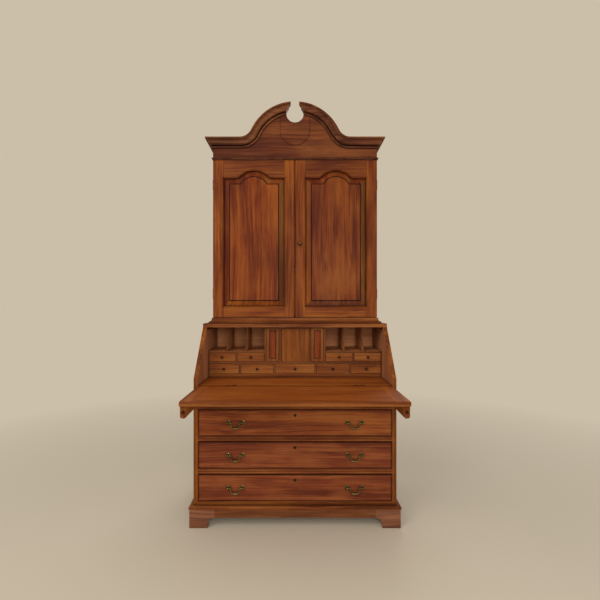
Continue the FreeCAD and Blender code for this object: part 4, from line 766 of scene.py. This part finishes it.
# nodes with one finish all over: finish, way of the grain and shift of the pattern
plainNodes = {
    "desk_top_board": ("moulding", "along", (0, 0.2, 0)),
    "writing_board": ("fallLeaf", "along", (0.5, 0, 0)),
    "drawer_dividers": ("divider", "along", (0.7, 0, 0)),
    "drawer_runners": ("inner", "deep"),
    "bookcase_sides": ("carcass", "upright", (0.6, 0, 0)),
    "bookcase_boards": ("inner", "along", (0.8, 0, 0)),
    "bookcase_shelves": ("inner", "along", (0.2, 0, 0)),
    "bookcase_back_boards": ("inner", "upright"),
    "prospect_door": ("prospect", "upright"),
}
metalNodes = {
    "case_hinge_leaves": waxedBrass,
    "lid_brasses": waxedBrass,
    "left_door_hinge_leaves": brass,
    "right_door_brasses": brass,
}
mouldingFinishes = {"base": "moulding", "mid": "moulding", "frieze": "cornice", "cornice": "cornice"}
footFinishes = {"skirt_rails": "skirt", "bracket_feet": "foot"}
footShift = (0.6, 0, 0)

for name, finish in plainNodes.items():
    dress(name, [wood(*finish)])
for name, metal in metalNodes.items():
    dress(name, [metal])
for side, shift in (("left", (0.3, 0, 0)), ("right", (0.9, 0, 0))):
    finishes = [wood(finish, "upright", shift) for finish in ("carcass", "litGalleryBack")]
    dress("desk_side_" + side, finishes, byInside)
dress("desk_bottom_board", [wood("inner", "along"), wood("carcass", "along", (0.1, 0, 0))], byFront)
dress("desk_back_boards", [wood("inner", "along", (0.4, 0, 0)), wood("litGalleryBack", "along")], byFront)
for name, finish in mouldingFinishes.items():
    finishes = [wood(finish, "along"), wood(finish, "deep"), wood("shadedBevel", "along")]
    dress(name + "_moulding", finishes, byPediment)
for name, finish in footFinishes.items():
    dress(name, [wood(finish, grain, footShift) for grain in ("along", "deep")], bySide)
board = wood("pediment", "along", (0.2, 0.3, 0.12))
dress("tympanum_board", [board, board, wood("shadedBevel", "along")], byPediment)
for name, grain in (("lid_board", "along"), ("lid_end_cleats", "deep")):
    dress(name, [wood("fallLeaf", grain), wood("shadedFallEdge", "along"), wood("litFallLip", "along")], byLip)

# each bevel is painted lit or shaded by the way it faces: head, left, right and foot of each panel
doorValues = {
    "left": {
        "shift": (0.1, 0, 0), "panel": "panel",
        "bevels": ("shadedBevel", "shadedBevel", "shadedOliveBevel", "litBevel"),
    },
    "right": {
        "shift": (0.8, 0, 0), "panel": "rightPanel",
        "bevels": ("shadedBevel", "litBevel", "shadedOliveBevel", "shadedMauveBevel"),
    },
}


def dressDoor(side, values):
    low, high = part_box(side + "_door_panel")
    margin = placeLimits["frameMargin"]

    def member(polygon):
        if not low.x + margin < polygon.center.x < high.x - margin:
            return 0
        return 1 if polygon.center.z < (low.z + high.z) / 2 else 2

    timber = (("doorFrame", "upright"), ("doorFrame", "along"), ("doorHead", "along"))
    dress(side + "_door_frame", [wood(finish, grain, values["shift"]) for finish, grain in timber], member)
    # the field stands out, the bevel slopes back from it and the quirk between them is painted near black as
    # shade
    field = min(polygon.center.y for polygon in nodes[side + "_door_panel"].data.polygons)
    steep, shallow = turnLimits["bevel"]

    def relief(polygon):
        slope = polygon.normal
        onField = slope.y < -turnLimits["flat"] and polygon.center.y < field + placeLimits["fieldDepth"]
        if onField or slope.y > turnLimits["panelBack"]:
            return 0
        if not steep < slope.y < shallow:
            return 1
        if abs(slope.x) > abs(slope.z):
            return 3 if slope.x < 0 else 4
        return 2 if slope.z > 0 else 5

    finishes = (values["panel"], "quirkShade") + values["bevels"]
    dress(side + "_door_panel", [wood(finish, "upright", values["shift"]) for finish in finishes], relief)


for side, values in doorValues.items():
    dressDoor(side, values)

for side, shift in (("left", (0, 0, 0)), ("right", (0.5, 0, 0))):
    finishes = [wood(finish, "deep", shift) for finish in ("carcass", "knobWood", "litLoperFlank")]
    dress("loper_" + side, finishes, byLoper)
for number in (1, 2, 3):
    name = "drawer_%d" % number
    finish = "litTopDrawer" if number == 1 else "drawerFace"
    face = wood(finish, "along", (0.4 * number, 0, 0.1 * number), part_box(name + "_front"))
    dress(name + "_front", [face, wood("quirkShade", "along")], byReturn)
    dress(name + "_box", [wood("inner", "along", (0.3 * number, 0, 0))])
    dress(name + "_brasses", [brass, sunkBrass], byMiddle)
    for side in ("left", "right"):
        dress("%s_%s_bail" % (name, side), [brass])

for row, count, rise in (("lower", 5, 0), ("upper", 4, 0.1)):
    for number in range(1, count + 1):
        face = wood("galleryFace", "along", (0.37 * number, 0, rise))
        finishes = [face, wood("knobWood", "along"), wood("inner", "along")]
        dress("%s_drawer_%d" % (row, number), finishes, drawerFaces)
for side, shift in (("left", (0, 0, 0)), ("right", (0.4, 0, 0))):
    finishes = [wood(finish, "upright", shift) for finish in ("galleryFace", "sunkField", "sunkBorder")]
    dress("document_drawer_" + side, finishes + [wood("inner", "along")], documentFaces)
strip = wood("shadedFallEdge", "along", (0.5, 0, 0))
dress("gallery_shelves", [wood("litPigeonhole", "along"), strip, wood("galleryEdge", "along")], byStrip)
dress("gallery_partitions", [wood("litPigeonhole", "upright"), wood("galleryEdge", "upright")], byEdge)
print("nodes dressed")


# hand tools for the small pieces that the scene adds
def settle():
    bpy.ops.object.transform_apply(location=True, rotation=True, scale=True)
    return bpy.context.object


def makeBlock(name, low, high):
    freshStart()
    middle = [(a + b) / 2 for a, b in zip(low, high)]
    extent = [b - a for a, b in zip(low, high)]
    bpy.ops.mesh.primitive_cube_add(size=1, location=middle, scale=extent)
    block = settle()
    block.name = name
    return block


def softenEdges(width, segments):
    bpy.ops.object.mode_set(mode="EDIT")
    bpy.ops.mesh.select_all(action="SELECT")
    bpy.ops.mesh.bevel(offset=width, segments=segments, affect="EDGES")
    bpy.ops.object.mode_set(mode="OBJECT")


def pick(piece, kind, wanted):
    bpy.ops.object.mode_set(mode="EDIT")
    bpy.ops.mesh.select_mode(type=kind)
    bpy.ops.mesh.select_all(action="DESELECT")
    bpy.ops.object.mode_set(mode="OBJECT")
    for part in piece.data.polygons if kind == "FACE" else piece.data.vertices:
        part.select = bool(wanted(part))
    bpy.ops.object.mode_set(mode="EDIT")


def copyTo(piece, place):
    freshStart()
    piece.select_set(True)
    bpy.context.view_layer.objects.active = piece
    bpy.ops.object.duplicate(linked=False)
    bpy.ops.transform.translate(value=place)
    return settle()


def joinPieces(name, pieces):
    freshStart()
    for piece in pieces:
        piece.select_set(True)
    bpy.context.view_layer.objects.active = pieces[0]
    bpy.ops.object.join()
    whole = bpy.context.object
    whole.name = name
    whole.data.name = name
    return whole


def discard(piece):
    bpy.data.objects.remove(piece, do_unlink=True)


def mount(piece, body):
    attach(piece, body)


# the backs are planks with eased edges, in the place of the plain backs
plankShape = {"count": 4, "ease": 0.0024, "shift": (0.43, 0.2)}
plankValues = {
    "deskBack": {
        "node": "desk_back_boards", "across": 2, "grain": "along", "front": "litGalleryBack", **plankShape,
    },
    "bookcaseBack": {
        "node": "bookcase_back_boards", "across": 0, "grain": "upright", "front": "inner", **plankShape,
    },
}
plankEdges = {}


def makePlanks(name, values):
    low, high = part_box(values["node"])
    across = values["across"]
    planks = []
    edge = low[across]
    plankEdges[name] = []
    for number in range(values["count"]):
        start, end = list(low), list(high)
        start[across] = edge
        edge += (high[across] - low[across]) / values["count"]
        end[across] = edge
        plankEdges[name].append((start[across], edge))
        plank = makeBlock("%sPlank%d" % (name, number + 1), start, end)
        softenEdges(values["ease"], 2)
        shift = (values["shift"][0] * number, values["shift"][1] * number, 0)
        finishes = [wood(finish, values["grain"], shift) for finish in ("inner", values["front"])]
        dressMesh(plank.data, finishes, byFront)
        planks.append(plank)
    whole = joinPieces(name + "Planks", planks)
    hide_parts(values["node"])
    mount(whole, "case")


for name, values in plankValues.items():
    makePlanks(name, values)
print("back planks laid")

# faceted nail heads, two at each crossing
nailValues = {
    "radius": 0.0042, "top": 0.0017, "rise": 0.0018, "sides": 8, "ease": 0.0003,
    "inset": 0.016, "share": 0.24, "boardMiddle": 0.01, "shelfMiddle": 0.009,
}


def makeNail(values):
    freshStart()
    bpy.ops.mesh.primitive_cone_add(
        vertices=values["sides"], radius1=values["radius"], radius2=values["top"], depth=values["rise"],
        location=(0, values["rise"] / 2, 0), rotation=(math.radians(-90), 0, 0))
    nail = settle()
    softenEdges(values["ease"], 1)
    return nail


def driveNails(values):
    nail = makeNail(values)
    dressMesh(nail.data, [iron])
    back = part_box("desk_back_boards")[1].y
    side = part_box("desk_back_boards")[1].x - values["inset"]
    boardsLow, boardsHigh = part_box("bookcase_boards")
    shelvesLow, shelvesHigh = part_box("bookcase_shelves")
    board, shelf = values["boardMiddle"], values["shelfMiddle"]
    levels = (boardsLow.z + board, shelvesLow.z + shelf, shelvesHigh.z - shelf, boardsHigh.z - board)
    places = []
    for low, high in plankEdges["deskBack"]:
        for share in (values["share"], 1 - values["share"]):
            places += [(x, back, low + share * (high - low)) for x in (-side, 0.0, side)]
    for low, high in plankEdges["bookcaseBack"]:
        for share in (values["share"], 1 - values["share"]):
            places += [(low + share * (high - low), back, z) for z in levels]
    mount(joinPieces("backNails", [copyTo(nail, place) for place in places]), "case")
    discard(nail)


driveNails(nailValues)
print("nails driven")

# dovetails let into the ends of the drawer fronts
tailValues = {
    "long": {
        "count": 4, "length": 0.016, "width": 0.02, "flare": 1.4, "proud": 0.0003, "lowered": 0.014,
    },
    "small": {
        "count": 2, "length": 0.0075, "width": 0.012, "flare": 1.35, "proud": 0.0002, "lowered": 0.006,
        "frontDeep": 0.012,
    },
}


def makeTail(values):
    proud, half = values["proud"], values["width"] / 2
    tail = makeBlock("tail", (-proud, -values["length"], -half), (proud, 0, half))
    pick(tail, "FACE", byFront)
    bpy.ops.transform.resize(value=(1, 1, values["flare"]))
    bpy.ops.object.mode_set(mode="OBJECT")
    softenEdges(proud / 3, 1)
    dressMesh(tail.data, [wood("inner", "deep", (0.15, 0, 0))])
    return tail


def makeTails(drawer, node, body, values, root):
    tail = makeTail(values)
    low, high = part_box(node)
    rise = (high.z - values["lowered"] - low.z) / values["count"]
    levels = [low.z + (number + 0.5) * rise for number in range(values["count"])]
    copies = [copyTo(tail, (x, root, z)) for x in (low.x, high.x) for z in levels]
    discard(tail)
    mount(joinPieces(drawer + "_dovetails", copies), body)


for number in (1, 2, 3):
    name = "drawer_%d" % number
    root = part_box(name + "_front")[1].y
    makeTails(name, name + "_front", "long_drawer_%d" % number, tailValues["long"], root)
smallDrawers = ["lower_drawer_%d" % number for number in range(1, 6)]
smallDrawers += ["upper_drawer_%d" % number for number in range(1, 5)]
smallDrawers += ["document_drawer_left", "document_drawer_right"]
for name in smallDrawers:
    root = galleryFront + tailValues["small"]["frontDeep"]
    makeTails(name, name, name + "_body", tailValues["small"], root)
print("dovetails cut")

# brass caps with four pins on the drawer locks, and a larger lock on the right door
lockValues = {
    "half": 0.026, "above": 0.004, "height": 0.036, "thick": 0.0013, "ease": 0.0005, "pinInset": 0.0055,
}
pinValues = {"radius": 0.002, "top": 0.0011, "rise": 0.0007, "sides": 12, "ease": 0.0002}
doorLockValues = {
    "left": 0.006, "right": 0.045, "halfHeight": 0.036, "deep": 0.009, "rim": 0.003, "ease": 0.0008,
    "belowMiddle": 0.029,
}


def makeCap(low, high, face, values):
    back = face + values["thick"]
    cap = makeBlock("lockCap", (low[0], face, low[1]), (high[0], back, high[1]))
    softenEdges(values["ease"], 2)
    pin = makeNail(pinValues)
    inset = values["pinInset"]
    columns = (low[0] + inset, high[0] - inset)
    rows = (low[1] + inset, high[1] - inset)
    pins = [copyTo(pin, (x, back, z)) for x in columns for z in rows]
    discard(pin)
    return [cap] + pins


def finishLock(name, body, pieces):
    whole = joinPieces(name, pieces)
    dressMesh(whole.data, [brass])
    mount(whole, body)


def makeDrawerLock(number, values):
    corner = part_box("drawer_%d_brasses" % number)[1]
    high = corner.z - values["above"]
    low = high - values["height"]
    pieces = makeCap((-values["half"], low), (values["half"], high), corner.y, values)
    finishLock("drawer_%d_lock_cap" % number, "long_drawer_%d" % number, pieces)


def makeDoorLock(values):
    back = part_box("right_door_frame")[1].y
    brassLow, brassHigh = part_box("right_door_brasses")
    middle = (brassLow.z + brassHigh.z) / 2 - values["belowMiddle"]
    low = (values["left"], middle - values["halfHeight"])
    high = (values["right"], middle + values["halfHeight"])
    face = back + values["deep"]
    case = makeBlock("lockCase", (low[0], back, low[1]), (high[0], face, high[1]))
    softenEdges(values["ease"], 2)
    rim = values["rim"]
    inner = makeCap((low[0] + rim, low[1] + rim), (high[0] - rim, high[1] - rim), face, lockValues)
    finishLock("rightDoorLock", "right_door", [case] + inner)


for number in (1, 2, 3):
    makeDrawerLock(number, lockValues)
makeDoorLock(doorLockValues)
print("locks fitted")

# a sliding bolt at the head and the foot of the left door
boltValues = {
    "fromEdge": 0.021, "fromEnd": 0.03, "long": 0.075, "halfWide": 0.0085, "thick": 0.0014, "ease": 0.0004,
    "rod": 0.003, "rodLong": 0.062, "rodSides": 24, "rodEase": 0.0006,
    "strapHalf": 0.0068, "strapWide": 0.0035, "strapRise": 0.0072, "strapEase": 0.0016, "straps": (0.2, 0.8),
}
boltKnob = {"radius": 0.0026, "top": 0.0036, "rise": 0.0075, "sides": 16, "ease": 0.0007}


def makeBolt(name, low, values):
    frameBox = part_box("left_door_frame")
    x = frameBox[1].x - values["fromEdge"]
    face = frameBox[1].y
    back = face + values["thick"]
    high = low + values["long"]
    middle = (low + high) / 2
    wide = values["halfWide"]
    plate = makeBlock("boltPlate", (x - wide, face, low), (x + wide, back, high))
    softenEdges(values["ease"], 2)
    freshStart()
    bpy.ops.mesh.primitive_cylinder_add(
        vertices=values["rodSides"], radius=values["rod"], depth=values["rodLong"],
        location=(x, back + values["rod"], middle))
    rod = settle()
    softenEdges(values["rodEase"], 2)
    pieces = [plate, rod]
    reach, across = values["strapHalf"], values["strapWide"]
    top = back + values["strapRise"]
    for share in values["straps"]:
        z = low + share * values["long"]
        pieces.append(makeBlock("boltStrap", (x - reach, back, z - across), (x + reach, top, z + across)))
        softenEdges(values["strapEase"], 3)
    knob = makeNail(boltKnob)
    pieces.append(copyTo(knob, (x, back + values["rod"], middle)))
    discard(knob)
    finishLock(name, "left_door", pieces)


doorLow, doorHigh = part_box("left_door_frame")
makeBolt("leftDoorFootBolt", doorLow.z + boltValues["fromEnd"], boltValues)
makeBolt("leftDoorHeadBolt", doorHigh.z - boltValues["fromEnd"] - boltValues["long"], boltValues)
print("bolts fitted")

# the bails swell in the middle, where the hand takes them
gripValues = {
    "wire": 0.0035, "corner": 0.017, "flatHalf": 0.0055, "turn": 1.05, "swell": 0.0021, "tuck": 0.0003,
    "steps": 8, "sides": 20, "smooth": 40, "sortFrom": (0.031, 0.047, 0.083),
}


# middle, lean and radius of one ring, where share runs from -1 to 1 along the curve
def gripRing(share, values):
    reach = abs(share) * (values["flatHalf"] + values["corner"] * values["turn"])
    angle = max(0.0, reach - values["flatHalf"]) / values["corner"]
    x = min(reach, values["flatHalf"]) + values["corner"] * math.sin(angle)
    z = values["corner"] * (1 - math.cos(angle))
    side = 1 if share > 0 else -1
    swell = (values["swell"] + values["tuck"]) * math.cos(share * math.pi / 2) ** 2
    return Vector((side * x, 0, z)), -side * angle, values["wire"] - values["tuck"] + swell


# the rings of a sphere are laid along the curve one by one, and its poles close the ends
def makeGrip(values):
    steps = values["steps"]
    freshStart()
    bpy.ops.mesh.primitive_uv_sphere_add(
        segments=values["sides"], ring_count=2 * steps + 2, radius=1, location=(0, 0, 0))
    grip = bpy.context.object
    rows = {}
    for vertex in grip.data.vertices:
        rows.setdefault(round(vertex.co.z, 4), []).append((vertex.index, vertex.co.copy()))
    for number, level in enumerate(sorted(rows, reverse=True)):
        share = max(-1, min(1, (number - 1 - steps) / steps))
        spot, lean, radius = gripRing(share, values)
        corner = rows[level][0][1]
        centre = Vector((0, 0, corner.z))
        ring = {index for index, place in rows[level]}
        pick(grip, "VERT", lambda vertex: vertex.index in ring)
        if len(rows[level]) > 1:
            scale = radius / (corner - centre).length
            bpy.ops.transform.resize(value=(scale, scale, scale), center_override=centre)
            bpy.ops.transform.rotate(value=math.radians(90) - lean, orient_axis="Y", center_override=centre)
        bpy.ops.transform.translate(value=spot - centre)
        bpy.ops.object.mode_set(mode="OBJECT")
    # a sphere's faces come in any order, so they are sorted from a fixed point
    scene.cursor.location = values["sortFrom"]
    bpy.ops.object.mode_set(mode="EDIT")
    bpy.ops.mesh.select_all(action="SELECT")
    bpy.ops.mesh.sort_elements(type="CURSOR_DISTANCE", elements={"VERT", "EDGE", "FACE"})
    bpy.ops.object.mode_set(mode="OBJECT")
    scene.cursor.location = (0, 0, 0)
    bpy.ops.object.shade_smooth_by_angle(angle=math.radians(values["smooth"]))
    dressMesh(grip.data, [brass])
    return grip


def fitGrips(values):
    grip = makeGrip(values)
    for number in (1, 2, 3):
        for side in ("left", "right"):
            low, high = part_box("drawer_%d_%s_bail" % (number, side))
            copy = copyTo(grip, ((low.x + high.x) / 2, (low.y + high.y) / 2, low.z + values["wire"]))
            copy.name = copy.data.name = "drawer_%d_%s_grip" % (number, side)
            mount(copy, "bail_%d_%s" % (number, side))
    discard(grip)


fitGrips(gripValues)
print("grips fitted")

# slotted screws in the hinge leaves, nearly flush so that the leaves still close
screwValues = {
    "radius": 0.0029, "proud": 0.00007, "sunk": 0.0006, "sides": 20, "ease": 0.00004,
    "slotHalf": 0.0025, "slotWide": 0.0004, "slotProud": 0.00002,
}
# where the leaves lie: their faces along Y, and the screws along X and Z
leafValues = {
    "doorCase": 0.192832, "door": 0.192632, "doorAcross": 0.4765, "doorSteps": (0.01, 0.03, 0.05),
    "fallCase": -0.094668, "fall": -0.094868, "fallAcross": (0.32, 0.34, 0.36), "fallHeight": 0.732,
}


def makeScrew(values, facing):
    freshStart()
    deep = values["sunk"] + values["proud"]
    middle = facing * (values["proud"] - deep / 2)
    bpy.ops.mesh.primitive_cylinder_add(
        vertices=values["sides"], radius=values["radius"], depth=deep,
        location=(0, middle, 0), rotation=(math.radians(90), 0, 0))
    head = settle()
    softenEdges(values["ease"], 1)
    dressMesh(head.data, [sunkBrass])
    reach = sorted((0.0, facing * (values["proud"] + values["slotProud"])))
    across, wide = values["slotHalf"], values["slotWide"]
    slot = makeBlock("screwSlot", (-across, reach[0], -wide), (across, reach[1], wide))
    dressMesh(slot.data, [iron])
    return joinPieces("screw", [head, slot])


def setScrews(name, body, values, facing, places):
    screw = makeScrew(values, facing)
    mount(joinPieces(name, [copyTo(screw, place) for place in places]), body)
    discard(screw)


def doorPlaces(side, face):
    low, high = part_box("left_door_hinge_leaves" if side < 0 else "right_door_brasses")
    steps = leafValues["doorSteps"]
    rows = [low.z + step for step in steps] + [high.z - step for step in reversed(steps)]
    return [(side * leafValues["doorAcross"], leafValues[face], z) for z in rows]


def fallPlaces(face):
    columns = [side * x for side in (-1, 1) for x in leafValues["fallAcross"]]
    return [(x, leafValues[face], leafValues["fallHeight"]) for x in columns]


casePlaces = doorPlaces(-1, "doorCase") + doorPlaces(1, "doorCase") + fallPlaces("fallCase")
setScrews("caseHingeScrews", "case", screwValues, -1, casePlaces)
setScrews("leftDoorScrews", "left_door", screwValues, 1, doorPlaces(-1, "door"))
setScrews("rightDoorScrews", "right_door", screwValues, 1, doorPlaces(1, "door"))
setScrews("fallScrews", "fall_front", screwValues, 1, fallPlaces("fall"))
print("screws set")
